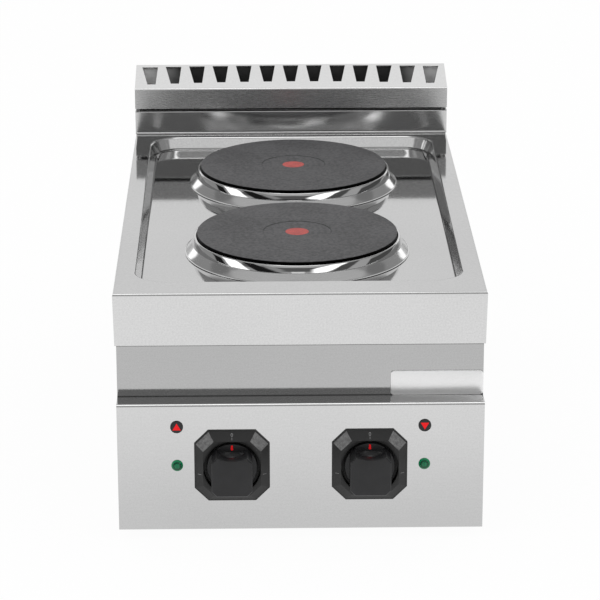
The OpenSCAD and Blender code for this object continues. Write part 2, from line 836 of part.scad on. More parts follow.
// Insulated leads from the mains block to the switches and on to the plates
module wiring() {
    back = housing_back_y + 10;
    turn_y = rear_y - 90;
    lead_x = 4;
    lead_z = pan_z - 35;
    color("white") for (s = [-1, 1])
        wire([[s * knob_x, back, knob_z - 15.6], [s * knob_x, back, wire_z],
            [s * wire_x, back, wire_z], [s * wire_x, turn_y, wire_z],
            [mains_x + s * 12, turn_y, wire_z], [mains_x + s * 12, rear_y - 60, wire_z]]);
    color("white") for (y = [front_plate_y, rear_plate_y] + [terminal_back, terminal_back])
        wire([[lead_x, y, pan_z - 5], [lead_x, y, lead_z], [wire_x, y, lead_z],
            [wire_x, y, wire_z]]);
}

foot_places = [[-1, foot_front_y], [1, foot_front_y], [-1, foot_back_y], [1, foot_back_y]];

// Weld nuts for the feet, inside the base tray
module foot_nuts() {
    z0 = panel_bottom + sheet_t;
    color("silver") for (p = foot_places) difference() {
        translate([p[0] * foot_x, p[1], z0]) cylinder(h = foot_thread_h, r = 7.5, $fn = 6);
        rod_z(p[0] * foot_x, p[1], z0 - 1, z0 + foot_thread_h + 1, foot_stud_r + fit);
    }
}

// Foot pad with a socket that the stud turns in
module foot_pad(p) {
    color(dark_plastic) translate([p[0] * foot_x, p[1], 0]) difference() {
        union() {
            cylinder(h = pad_h - 1.5, r = pad_r);
            cylinder(h = pad_h, r = pad_r - 3);
        }
        translate([0, 0, 2]) cylinder(h = pad_h, r = foot_stud_r + fit);
    }
}

// Threaded stud with a hexagon for the spanner
module foot_stud(p) {
    color("silver") translate([p[0] * foot_x, p[1], 0]) union() {
        translate([0, 0, 2.2]) cylinder(h = foot_stud_top - 2.2, r = foot_stud_r);
        translate([0, 0, pad_h + 0.2]) cylinder(h = 3.4, r = 7.5, $fn = 6);
    }
}

from_front() worktop();
from_front() base_tray();
from_front() side_panel(-1);  // left_side_panel
from_front() side_panel(1);  // right_side_panel
from_front() rear_panel();
from_front() recess_panel();
from_front() control_panel();
from_front() badge_plate();
from_front() riser_lower();
from_front() riser_cap();
from_front() heat_shield();
from_front() plate_casting(front_plate_y);  // front_plate_casting
from_front() overflow_ring(front_plate_y);  // front_overflow_ring
from_front() plate_gasket(front_plate_y);  // front_plate_gasket
from_front() ceramic_filling(front_plate_y);  // front_ceramic_filling
from_front() heating_coil(front_plate_y);  // front_heating_coil
from_front() cover_pan(front_plate_y);  // front_cover_pan
from_front() clamp_bar(front_plate_y);  // front_clamp_bar
from_front() terminal_block(front_plate_y);  // front_terminal_block
from_front() plate_casting(rear_plate_y);  // rear_plate_casting
from_front() overflow_ring(rear_plate_y);  // rear_overflow_ring
from_front() plate_gasket(rear_plate_y);  // rear_plate_gasket
from_front() ceramic_filling(rear_plate_y);  // rear_ceramic_filling
from_front() heating_coil(rear_plate_y);  // rear_heating_coil
from_front() cover_pan(rear_plate_y);  // rear_cover_pan
from_front() clamp_bar(rear_plate_y);  // rear_clamp_bar
from_front() terminal_block(rear_plate_y);  // rear_terminal_block
from_front() clamp_studs();
from_front() clamp_nuts();
from_front() bezel(-1);  // left_bezel
from_front() knob(-1);  // left_knob
from_front() pointer(-1);  // left_pointer
from_front() spindle(-1);  // left_spindle
from_front() switch_housing(-1);  // left_switch_housing
from_front() cam_drum(-1);  // left_cam_drum
from_front() lamp_lens(-1);  // left_lamp_lens
from_front() lamp_body(-1);  // left_lamp_body
from_front() bezel(1);  // right_bezel
from_front() knob(1);  // right_knob
from_front() pointer(1);  // right_pointer
from_front() spindle(1);  // right_spindle
from_front() switch_housing(1);  // right_switch_housing
from_front() cam_drum(1);  // right_cam_drum
from_front() lamp_lens(1);  // right_lamp_lens
from_front() lamp_body(1);  // right_lamp_body
from_front() marker_plugs();
from_front() marker_triangles();
from_front() mains_terminal_block();
from_front() cable_gland();
from_front() bonding_stud();
from_front() wiring();
from_front() foot_nuts();
from_front() foot_pad(foot_places[0]);  // front_left_foot_pad
from_front() foot_stud(foot_places[0]);  // front_left_foot_stud
from_front() foot_pad(foot_places[1]);  // front_right_foot_pad
from_front() foot_stud(foot_places[1]);  // front_right_foot_stud
from_front() foot_pad(foot_places[2]);  // rear_left_foot_pad
from_front() foot_stud(foot_places[2]);  // rear_left_foot_stud
from_front() foot_pad(foot_places[3]);  // rear_right_foot_pad
from_front() foot_stud(foot_places[3]);  // rear_right_foot_stud
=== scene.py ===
"""Hot plate burner: two cast-iron plates on a pressed stainless body, dressed for the studio.

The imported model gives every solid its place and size. This script gives each solid its finish,
puts finer spun, pressed and moulded pieces in the place of the plainest ones, and sets up the
floor, the light and the camera. Sizes are in millimetres unless a name says otherwise.
"""

from __future__ import annotations

import logging
import math
from dataclasses import dataclass, field
from enum import Enum
from typing import Any, Callable, Iterable, Mapping, Sequence, Union

import bmesh
import bpy
from mathutils import Matrix, Vector

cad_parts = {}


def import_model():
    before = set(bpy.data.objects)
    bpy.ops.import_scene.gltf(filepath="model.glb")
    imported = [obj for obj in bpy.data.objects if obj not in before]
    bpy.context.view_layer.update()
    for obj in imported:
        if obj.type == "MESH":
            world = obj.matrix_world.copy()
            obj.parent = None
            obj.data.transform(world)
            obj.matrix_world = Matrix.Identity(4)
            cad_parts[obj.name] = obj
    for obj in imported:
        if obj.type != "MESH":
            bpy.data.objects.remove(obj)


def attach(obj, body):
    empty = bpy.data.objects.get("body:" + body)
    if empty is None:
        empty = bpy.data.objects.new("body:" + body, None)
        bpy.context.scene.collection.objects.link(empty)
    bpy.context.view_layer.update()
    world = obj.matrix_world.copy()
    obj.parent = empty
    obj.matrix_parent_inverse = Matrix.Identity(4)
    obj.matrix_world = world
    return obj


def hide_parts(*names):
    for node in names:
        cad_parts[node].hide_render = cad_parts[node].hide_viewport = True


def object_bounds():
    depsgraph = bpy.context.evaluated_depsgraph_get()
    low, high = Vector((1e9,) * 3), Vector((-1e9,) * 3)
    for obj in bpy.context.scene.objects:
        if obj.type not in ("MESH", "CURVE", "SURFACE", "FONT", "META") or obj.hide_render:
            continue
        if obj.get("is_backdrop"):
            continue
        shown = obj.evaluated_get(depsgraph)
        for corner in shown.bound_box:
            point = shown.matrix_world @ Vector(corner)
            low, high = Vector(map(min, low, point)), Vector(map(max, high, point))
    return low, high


LOG = logging.getLogger("hot_plate_burner")

MM = 0.001
FASCIA_Y = -275.85
TOP_Z = 226.8
HARD_ANGLE = math.radians(30.0)

Point = tuple[float, float, float]
Outline = Sequence[tuple[float, float]]


# ---------------------------------------------------------------------------
# Shader maths
# ---------------------------------------------------------------------------


class Num:
    """A number that changes over a surface, with arithmetic that adds Math nodes."""

    def __init__(self, graph: "Graph", socket: bpy.types.NodeSocket) -> None:
        """Wrap a node's output.

        Args:
            graph: The node tree that the socket belongs to.
            socket: The output that gives the number.
        """
        self.graph = graph
        self.socket = socket

    def __add__(self, other: "Value") -> "Num":
        """Sum."""
        return self.graph.math("ADD", self, other)

    def __radd__(self, other: "Value") -> "Num":
        """Sum with the plain number first."""
        return self.graph.math("ADD", other, self)

    def __sub__(self, other: "Value") -> "Num":
        """Difference."""
        return self.graph.math("SUBTRACT", self, other)

    def __rsub__(self, other: "Value") -> "Num":
        """Difference from a plain number, as in 1 - mask."""
        return self.graph.math("SUBTRACT", other, self)

    def __mul__(self, other: "Value") -> "Num":
        """Product."""
        return self.graph.math("MULTIPLY", self, other)

    def __rmul__(self, other: "Value") -> "Num":
        """Product with the plain number first."""
        return self.graph.math("MULTIPLY", other, self)

    def __truediv__(self, other: "Value") -> "Num":
        """Quotient."""
        return self.graph.math("DIVIDE", self, other)

    def __abs__(self) -> "Num":
        """Size without its sign."""
        return self.graph.math("ABSOLUTE", self)

    def rise(self, low: float, high: float) -> "Num":
        """Go smoothly from 0 at low to 1 at high, and the other way where high is below low.

        Args:
            low: Value at which the result is 0.
            high: Value at which the result is 1.

        Returns:
            The smooth step.
        """
        ends = (low, high, 0.0, 1.0) if high > low else (high, low, 1.0, 0.0)
        sockets = {"Value": self, "From Min": ends[0], "From Max": ends[1]}
        sockets.update({"To Min": ends[2], "To Max": ends[3]})
        node = self.graph.add("MapRange", {"interpolation_type": "SMOOTHSTEP"}, sockets)
        return Num(self.graph, node.outputs["Result"])

    def band(self, low: float, high: float, soft: float) -> "Num":
        """Be 1 between low and high and 0 outside, with soft ends.

        Args:
            low: Lower end of the band.
            high: Upper end of the band.
            soft: Width of each soft end, outside the band.

        Returns:
            The mask.
        """
        return self.rise(low - soft, low) * self.rise(high + soft, high)


Value = Union[Num, float, int]
Grey = float


class Graph:
    """Builds one node tree."""

    def __init__(self, tree: bpy.types.NodeTree) -> None:
        """Empty the tree and start on it.

        Args:
            tree: The tree of a material or of the world.
        """
        tree.nodes.clear()
        self.tree = tree

    def add(
        self,
        kind: str,
        settings: Mapping[str, Any] | None = None,
        sockets: Mapping[str | int, Any] | None = None,
    ) -> bpy.types.Node:
        """Add one node.

        Args:
            kind: Node type without its ShaderNode prefix.
            settings: Attributes set before the inputs.
            sockets: Values, links or Nums for the inputs, by name or by number.

        Returns:
            The node.
        """
        node = self.tree.nodes.new("ShaderNode" + kind)
        for name, value in (settings or {}).items():
            setattr(node, name, value)
        for key, value in (sockets or {}).items():
            if isinstance(value, Num):
                value = value.socket
            if isinstance(value, bpy.types.NodeSocket):
                self.tree.links.new(value, node.inputs[key])
            else:
                node.inputs[key].default_value = value
        return node

    def surface(self, sockets: Mapping[str, Any]) -> bpy.types.NodeSocket:
        """Add a Principled shader with these inputs and give its output."""
        return self.add("BsdfPrincipled", {}, sockets).outputs[0]

    def math(self, operation: str, *values: Value) -> Num:
        """Add a Math node.

        Args:
            operation: The node's operation.
            *values: One value for each of its inputs.

        Returns:
            The result.
        """
        node = self.add("Math", {"operation": operation}, dict(enumerate(values)))
        return Num(self, node.outputs[0])

    def place(
        self, centre: Point = (0.0, 0.0, 0.0), stretch: Point = (1.0, 1.0, 1.0)
    ) -> bpy.types.NodeSocket:
        """Give the piece's own coordinates, in metres.

        Args:
            centre: Point that becomes the origin, in millimetres.
            stretch: Factor along each axis, after the move.

        Returns:
            The vector output.
        """
        own = self.add("TexCoord").outputs["Object"]
        sockets = {0: own, 1: tuple(c * MM for c in centre)}
        moved = self.add("VectorMath", {"operation": "SUBTRACT"}, sockets).outputs[0]
        return self.add("Mapping", {}, {"Vector": moved, "Scale": stretch}).outputs[0]

    def split(self, vector: bpy.types.NodeSocket) -> tuple[Num, Num, Num]:
        """Give a vector's three numbers."""
        node = self.add("SeparateXYZ", {}, {0: vector})
        return tuple(Num(self, node.outputs[i]) for i in range(3))

    def noise(
        self,
        vector: bpy.types.NodeSocket,
        scale: float,
        detail: float = 2.0,
        rough: float = 0.5,
    ) -> Num:
        """Add a cloud noise.

        Args:
            vector: Coordinates to read.
            scale: Cycles in one metre.
            detail: Number of finer layers.
            rough: Strength of the finer layers.

        Returns:
            The noise, about 0.5 on average.
        """
        sockets = {"Vector": vector, "Scale": scale, "Detail": detail, "Roughness": rough}
        return Num(self, self.add("TexNoise", {}, sockets).outputs[0])

    def cells(self, vector: bpy.types.NodeSocket, scale: float) -> Num:
        """Add a cell texture's distance.

        Args:
            vector: Coordinates to read.
            scale: Cells in one metre.

        Returns:
            The distance.
        """
        sockets = {"Vector": vector, "Scale": scale}
        return Num(self, self.add("TexVoronoi", {}, sockets).outputs[0])

    def grain(self, way: "Grain", depth: float) -> tuple[Num, Num, bpy.types.NodeSocket]:
        """Add the grain of rolled sheet.

        Args:
            way: Way that the grain runs.
            depth: Depth of the grain, in millimetres.

        Returns:
            The long grain, the fine sand and the bumped normal.
        """
        fine = self.noise(self.place(stretch=way.value), 95.0, 3.0, 0.65)
        sand = self.noise(self.place(), 620.0, 1.0)
        return fine, sand, self.bump(0.6 * fine + 0.4 * sand, depth)

    def blend(
        self,
        share: Value,
        first: bpy.types.NodeSocket | Sequence[float],
        second: bpy.types.NodeSocket | Sequence[float],
    ) -> bpy.types.NodeSocket:
        """Mix two colours.

        Args:
            share: Share of the second colour.
            first: Colour where the share is 0.
            second: Colour where the share is 1.

        Returns:
            The mixed colour.
        """
        node = self.add("Mix", {"data_type": "RGBA"}, {0: share, 6: first, 7: second})
        return node.outputs[2]

    def bump(self, height: Num, depth: float) -> bpy.types.NodeSocket:
        """Turn a height into a bumped normal.

        Args:
            height: Height from 0 to 1.
            depth: Height of 1, in millimetres.

        Returns:
            The normal.
        """
        return self.add("Bump", {}, {"Height": height, "Distance": depth * MM}).outputs[0]


def rgb(red: float, green: float | None = None, blue: float | None = None) -> tuple[float, ...]:
    """Give a linear colour with its alpha, a grey where only one number is given."""
    return (red, red if green is None else green, red if blue is None else blue, 1.0)


def shades(base: Sequence[float], low: float, high: float) -> tuple[tuple[float, ...], ...]:
    """Give a dark and a light version of a colour.

    Args:
        base: Red, green and blue.
        low: Factor of the dark one.
        high: Factor of the light one.

    Returns:
        The dark and the light colour.
    """
    return rgb(*(low * c for c in base)), rgb(*(min(1.0, high * c) for c in base))


def link(name: str, data: bpy.types.ID) -> bpy.types.Object:
    """Put a new object into the scene.

    Args:
        name: Name of the object.
        data: Its mesh, lamp or camera.

    Returns:
        The object, at the origin.
    """
    made = bpy.data.objects.new(name, data)
    bpy.context.scene.collection.objects.link(made)
    return made


# ---------------------------------------------------------------------------
# Finishes
# ---------------------------------------------------------------------------


class Grain(Enum):
    """Way that a sheet's rolling grain runs."""

    ALONG_X = (1.0, 26.0, 26.0)
    ALONG_Y = (26.0, 1.0, 26.0)


@dataclass(frozen=True)
class Finish:
    """What every finish has.

    Attributes:
        name: Name of the material.
    """

    name: str

    def make(self) -> bpy.types.Material:
        """Give the material, made once."""
        made = bpy.data.materials.get(self.name)
        if made is None:
            made = bpy.data.materials.new(self.name)
            made.use_nodes = True
            graph = Graph(made.node_tree)
            shader = self.shade(graph)
            graph.add("OutputMaterial", {}, {"Surface": shader})
        return made

    def shade(self, graph: Graph) -> bpy.types.NodeSocket:
        """Build the nodes and give the shader's output."""
        raise NotImplementedError


@dataclass(frozen=True)
class SheetSteel(Finish):
    """Rolled stainless sheet with a fine grain, and painted shade by height where fades are
    given.

    Attributes:
        shade_of: Grey of the metal.
        rough: Roughness of the surface.
        grain: Way that the grain runs.
        cloud: Share by which the grey drifts over the sheet.
        depth: Depth of the grain, in millimetres.
        fades: Painted shade: heights above the table between which the grey changes, each with a
            factor on it.
    """

    shade_of: Grey = 0.66
    rough: float = 0.14
    grain: Grain = Grain.ALONG_X
    cloud: float = 0.05
    depth: float = 0.0015
    fades: tuple[tuple[float, float, float, float], ...] = ()

    def shade(self, graph: Graph) -> bpy.types.NodeSocket:
        """Rolled steel: fine grain, a faint drift of tone, a soft sheen and any painted shade by
        height.
        """
        own = graph.place()
        fine, sand, normal = graph.grain(self.grain, self.depth)
        drift = graph.noise(own, 7.0, 2.0)
        tone = (0.34 * fine + 0.4 * sand + 0.26 * drift).rise(0.25, 0.75)
        colour = graph.blend(
            tone, *shades((self.shade_of,) * 3, 1.0 - self.cloud, 1.0 + self.cloud)
        )
        _, _, height = graph.split(own)
        # Painted shade: between each fade's heights the grey is blended towards black by its
        # factors.
        for low, high, at_low, at_high in self.fades:
            there = height.rise(low * MM, high * MM)
            share = (1.0 - at_low) * (1.0 - there) + (1.0 - at_high) * there
            colour = graph.blend(share, colour, rgb(0.0))
        return graph.surface(
            {
                "Metallic": 1.0,
                "Base Color": colour,
                "Roughness": self.rough * (0.85 + 0.3 * fine),
                "Normal": normal,
            }
        )


@dataclass(frozen=True)
class CapSteel(Finish):
    """Sheet of the riser's cap: satin outside, dull inside, with painted shade on its upright
    face and inside.

    Attributes:
        shade_of: Grey of the top.
        face: Grey of the upright face, a darker copy of the top's grey as painted shade.
        inner: Grey inside, painted shade in the middle that lightens to a painted light towards
            the ends.
        rough: Roughness of the top.
        face_rough: Roughness of the face.
        front: Y of the cap's face.
        front_up: Height of the top's front edge above the worktop.
        lean: Rise of the top over its depth.
    """

    shade_of: Grey = 0.87
    face: Grey = 0.55
    inner: Grey = 0.035
    rough: float = 0.13
    face_rough: float = 0.27
    front: float = FASCIA_Y + 528.3
    front_up: float = 49.6
    lean: float = 0.252

    def shade(self, graph: Graph) -> bpy.types.NodeSocket:
        """Rolled steel that turns dull behind the sheet's outer face, with painted shade on the
        face and inside.
        """
        place = graph.place(centre=(0.0, self.front, TOP_Z + self.front_up))
        across, along, up = graph.split(place)
        under = along * self.lean - up
        inside = under.rise(0.0009, 0.0014) * along.rise(0.0009, 0.0014)
        inside = inside * abs(across).rise(0.1660, 0.1655)
        fine, sand, normal = graph.grain(Grain.ALONG_X, 0.0015)
        tone = (0.5 * fine + 0.5 * sand).rise(0.25, 0.75)
        upright = along.rise(0.0014, 0.0010) * under.rise(0.0008, 0.0014)
        outer = graph.blend(tone, *shades((self.shade_of,) * 3, 0.955, 1.045))
        # Painted shade: the upright face gets a darker copy of the top's grey.
        face = graph.blend(tone, *shades((self.face,) * 3, 0.955, 1.045))
        outer = graph.blend(upright, outer, face)
        # Painted shade inside the cap, lightening to a painted light of 0.9 towards the end
        # slots.
        inside_shade_and_light = graph.blend(abs(across).rise(0.110, 0.158), rgb(self.inner), rgb(0.9))
        rough = self.rough * (1.0 - upright) + self.face_rough * upright
        return graph.surface(
            {
                "Metallic": 1.0 - inside,
                "Base Color": graph.blend(inside, outer, inside_shade_and_light),
                "Roughness": rough * (0.85 + 0.3 * fine) + 0.5 * inside,
                "Normal": normal,
            }
        )


@dataclass(frozen=True)
class PressedTop(Finish):
    """Worktop sheet: satin rim, brighter polished well, drawn corners and a painted shade line
    at the well's foot.

    Attributes:
        shade_of: Grey of the metal.
        rim_rough: Roughness of the rim and the fascia.
        well_rough: Roughness inside the well.
    """

    shade_of: Grey = 0.66
    rim_rough: float = 0.075
    well_rough: float = 0.06

    def shade(self, graph: Graph) -> bpy.types.NodeSocket:
        """Satin outside the well, polished inside it, with a painted shade line along the foot
        of the well's wall.
        """
        across, along, height = graph.split(graph.place(centre=(0.0, FASCIA_Y, TOP_Z)))
        within = abs(across).rise(0.1575, 0.1565) * along.rise(0.020, 0.022)
        # Painted shade: a thin band along the foot of the well's wall.
        foot = within * height.band(-0.0116, -0.0106, 0.0001)
        fine, sand, normal = graph.grain(Grain.ALONG_X, 0.0012)
        drift = graph.noise(graph.place(), 6.0, 2.0)
        inside = within * height.rise(-0.0002, -0.0025)
        tone = (0.25 * fine + 0.5 * sand + 0.25 * drift).rise(0.3, 0.7)
        rough = self.rim_rough * (1.0 - inside) + self.well_rough * inside
        rough = rough * (0.85 + 0.3 * fine)
        colour = graph.blend(tone, *shades((self.shade_of,) * 3, 0.94, 1.06))
        # Painted shade: the foot band is darkened towards near-black.
        colour = graph.blend(0.72 * foot, colour, rgb(0.02))
        return graph.surface(
            {
                "Metallic": 1.0,
                "Base Color": colour,
                "Roughness": rough,
                "Normal": normal,
            }
        )


@dataclass(frozen=True)
class SpunChrome(Finish):
    """Bright rolled ring: mirror band above the crease, satin skirt below it.

    Attributes:
        shade_of: Grey of the metal.
        band_rough: Roughness above the crease.
        skirt_rough: Roughness below the crease.
        crease: Height of the crease above the table.
    """

    shade_of: Grey = 0.74
    band_rough: float = 0.04
    skirt_rough: float = 0.12
    crease: float = TOP_Z - 3.1

    def shade(self, graph: Graph) -> bpy.types.NodeSocket:
        """Mirror band and satin skirt with round polishing marks."""
        _, _, height = graph.split(graph.place(centre=(0.0, 0.0, self.crease)))
        marks = graph.noise(graph.place(stretch=(3.0, 3.0, 900.0)), 6.0, 3.0, 0.6)
        drift = graph.noise(graph.place(), 30.0, 2.0)
        below = height.rise(0.0002, -0.0008)
        rough = self.band_rough + below * (self.skirt_rough - self.band_rough)
        tone = (0.5 * marks + 0.5 * drift).rise(0.3, 0.7)
        colour = graph.blend(tone, *shades((self.shade_of,) * 3, 0.95, 1.04))
        return graph.surface(
            {
                "Metallic": 1.0,
                "Base Color": colour,
                "Roughness": rough * (0.8 + 0.4 * drift),
                "Normal": graph.bump(marks, 0.0008),
            }
        )


@dataclass(frozen=True)
class CastIron(Finish):
    """Blackened cast iron: matt, fine grain, a few dark pits, a dished middle and painted shade
    on its outer side.

    Attributes:
        shade_of: Grey of the iron.
        middle_y: Y of the plate's middle.
        dish: Radius of the dish.
        top: Height of the iron's face above the table.
    """

    shade_of: Grey = 0.088
    middle_y: float = 0.0
    dish: float = 31.8
    top: float = TOP_Z + 6.6

    def shade(self, graph: Graph) -> bpy.types.NodeSocket:
        """Matt grained iron with a dark line round the dish and painted shade on the plate's
        outer side.
        """
        own = graph.place(centre=(0.0, self.middle_y, 0.0))
        across, along, height = graph.split(own)
        radius = graph.math("SQRT", across * across + along * along)
        # Painted shade: the plate's outer side, just below its top edge, becomes near-black
        # metal.
        shaded_flank = height.rise((self.top - 0.2) * MM, (self.top - 0.55) * MM)
        shaded_flank = shaded_flank * radius.rise(0.0905, 0.0915)
        grit = graph.noise(own, 900.0, 3.0, 0.7)
        sand = graph.noise(own, 350.0, 2.0)
        cloud = graph.noise(own, 16.0, 3.0)
        pits = graph.cells(own, 120.0).rise(0.10, 0.04)
        pits = pits * graph.noise(own, 45.0, 1.0).rise(0.6, 0.7)
        line = radius.band((self.dish - 0.25) * MM, (self.dish + 0.25) * MM, 0.35 * MM)
        tone = (0.25 * grit + 0.5 * sand + 0.25 * cloud).rise(0.34, 0.66)
        base = tuple(self.shade_of * c for c in (0.87, 0.865, 0.90))
        colour = graph.blend(tone, *shades(base, 0.48, 1.54))
        colour = graph.blend(0.75 * pits, colour, rgb(0.012))
        colour = graph.blend(0.55 * line, colour, rgb(0.02))
        # Painted shade: near-black on the plate's outer side.
        colour = graph.blend(shaded_flank, colour, rgb(0.003))
        return graph.surface(
            {
                "Metallic": shaded_flank,
                "Base Color": colour,
                "Roughness": 0.52 + 0.16 * sand,
                "Normal": graph.bump(0.7 * grit + 0.3 * sand, 0.055),
            }
        )


@dataclass(frozen=True)
class Moulded(Finish):
    """Moulded plastic with a fine spark-eroded texture.

    Attributes:
        red: Red of the colour.
        green: Green of the colour.
        blue: Blue of the colour.
        rough: Roughness of the surface.
        cell: Texture cells in one metre.
        depth: Depth of the texture, in millimetres.
        gloss: Strength of the sheen.
    """

    red: float = 0.02
    green: float = 0.02
    blue: float = 0.021
    rough: float = 0.42
    cell: float = 1700.0
    depth: float = 0.02
    gloss: float = 0.36

    def shade(self, graph: Graph) -> bpy.types.NodeSocket:
        """Satin plastic: fine pebbles and a faint drift of tone."""
        own = graph.place()
        pebble = graph.cells(own, self.cell)
        drift = graph.noise(own, 60.0, 2.0)
        dark, light = shades((self.red, self.green, self.blue), 0.85, 1.15)
        return graph.surface(
            {
                "Base Color": graph.blend(drift.rise(0.3, 0.7), dark, light),
                "Roughness": self.rough * (0.9 + 0.2 * drift),
                "Specular IOR Level": self.gloss,
                "Normal": graph.bump(pebble, self.depth),
            }
        )


@dataclass(frozen=True)
class Paint(Finish):
    """Printed or filled marking.

    Attributes:
        red: Red of the colour.
        green: Green of the colour.
        blue: Blue of the colour.
        mottle: Share by which the colour varies.
        rough: Roughness of the paint.
        gloss: Strength of the paint's sheen.
    """

    red: float = 0.6
    green: float = 0.02
    blue: float = 0.02
    mottle: float = 0.15
    rough: float = 0.45
    gloss: float = 0.5

    def shade(self, graph: Graph) -> bpy.types.NodeSocket:
        """Slightly uneven paint."""
        own = graph.place()
        speck = graph.noise(own, 700.0, 2.0)
        cloud = graph.noise(own, 130.0, 2.0)
        base = (self.red, self.green, self.blue)
        dark, light = shades(base, 1.0 - self.mottle, 1.0 + self.mottle)
        tone = (0.5 * speck + 0.5 * cloud).rise(0.3, 0.7)
        return graph.surface(
            {
                "Base Color": graph.blend(tone, dark, light),
                "Roughness": self.rough * (0.9 + 0.2 * cloud),
                "Specular IOR Level": self.gloss,
                "Normal": graph.bump(speck, 0.01),
            }
        )


@dataclass(frozen=True)
class LampGreen(Finish):
    """Green lens moulded with small pyramids inside.

    Attributes:
        cell: Facets in one metre.
        aside: Distance of the lens from the middle of the cooker.
        up: Height of the lens above the table.
    """

    cell: float = 700.0
    aside: float = 109.7
    up: float = 72.5

    def shade(self, graph: Graph) -> bpy.types.NodeSocket:
        """Glossy green with bright and dark facets painted in, a painted glint and shade of the
        small pyramids.
        """
        own = graph.place()
        across, _, height = graph.split(graph.place(centre=(0.0, 0.0, self.up)))
        across = abs(across) - self.aside * MM
        radius = graph.math("SQRT", across * across + height * height)
        facet = graph.cells(own, self.cell)
        edge = graph.noise(own, 900.0, 1.0)
        # Painted glint and shade: facets made brighter and darker green at random.
        tone = (0.7 * facet + 0.3 * edge).rise(0.15, 0.6)
        colour = graph.blend(tone, rgb(0.0005, 0.075, 0.028), rgb(0.004, 0.17, 0.07))
        ring, rim = radius.band(0.0027, 0.0036, 0.0005), radius.rise(0.0039, 0.0046)
        colour = graph.blend(0.75 * ring, colour, rgb(0.0, 0.03, 0.012))
        colour = graph.blend(0.6 * rim, colour, rgb(0.001, 0.24, 0.09))
        return graph.surface(
            {
                "Base Color": colour,
                "Roughness": 0.12 + 0.1 * facet,
                "Coat Weight": 0.1,
                "Specular IOR Level": 0.3,
                "Normal": graph.bump(facet, 0.25),
            }
        )


@dataclass(frozen=True)
class Coated(Finish):
    """Plated, fired or sprayed surface of a working part.

    Attributes:
        red: Red of the colour.
        green: Green of the colour.
        blue: Blue of the colour.
        metal: 1 for a metal, 0 for anything else.
        rough: Roughness of the surface.
        cloud: Cycles in one metre of the uneven tone.
        depth: Depth of the fine bumps, in millimetres.
    """

    red: float = 0.6
    green: float = 0.6
    blue: float = 0.6
    metal: float = 0.0
    rough: float = 0.4
    cloud: float = 80.0
    depth: float = 0.01

    def shade(self, graph: Graph) -> bpy.types.NodeSocket:
        """Uneven tone with fine bumps."""
        own = graph.place()
        cloud = graph.noise(own, self.cloud, 3.0, 0.6)
        grit = graph.noise(own, 1100.0, 2.0)
        dark, light = shades((self.red, self.green, self.blue), 0.82, 1.12)
        return graph.surface(
            {
                "Metallic": self.metal,
                "Base Color": graph.blend(cloud.rise(0.3, 0.7), dark, light),
                "Roughness": self.rough * (0.8 + 0.4 * cloud),
                "Normal": graph.bump(grit, self.depth),
            }
        )


@dataclass(frozen=True)
class BezelBlack(Finish):
    """Black moulding whose two upper diagonal facets are painted paler, a painted highlight.

    Attributes:
        shade_of: Grey of the moulding.
        pale: Grey of the painted highlight on the two facets.
        aside: Distance of the knobs from the middle of the cooker.
        up: Height of the knobs above the table.
    """

    shade_of: Grey = 0.013
    pale: Grey = 0.14
    aside: float = 61.0
    up: float = 72.5

    def shade(self, graph: Graph) -> bpy.types.NodeSocket:
        """Pebbled plastic with a speckled painted highlight on two facets."""
        own = graph.place()
        across, _, up = graph.split(graph.place(centre=(0.0, 0.0, self.up)))
        across = abs(abs(across) - self.aside * MM)
        slanting = (across + up) * math.sqrt(0.5)
        facet = (slanting - 0.02935) / 0.00808
        straight = (graph.math("MAXIMUM", across, up) - 0.02555) / 0.00675
        # Painted highlight: the two upper diagonal facets of each bezel are painted paler, with
        # speckles.
        mask = (facet - straight).rise(0.0, 0.03) * facet.band(0.03, 0.97, 0.03)
        pebble = graph.cells(own, 1500.0)
        speck = graph.noise(own, 1300.0, 3.0, 0.7)
        highlight_speck = (0.6 * speck + 0.4 * graph.noise(own, 420.0, 2.0)).rise(0.32, 0.66)
        # Painted highlight, speckled, for the two facets.
        pale = graph.blend(highlight_speck, *shades((self.pale,) * 3, 0.55, 1.4))
        base = graph.blend(speck, *shades((self.shade_of,) * 3, 0.8, 1.2))
        return graph.surface(
            {
                "Base Color": graph.blend(mask, base, pale),
                "Roughness": 0.36 + 0.1 * speck,
                "Specular IOR Level": 0.4,
                "Normal": graph.bump(pebble, 0.03),
            }
        )


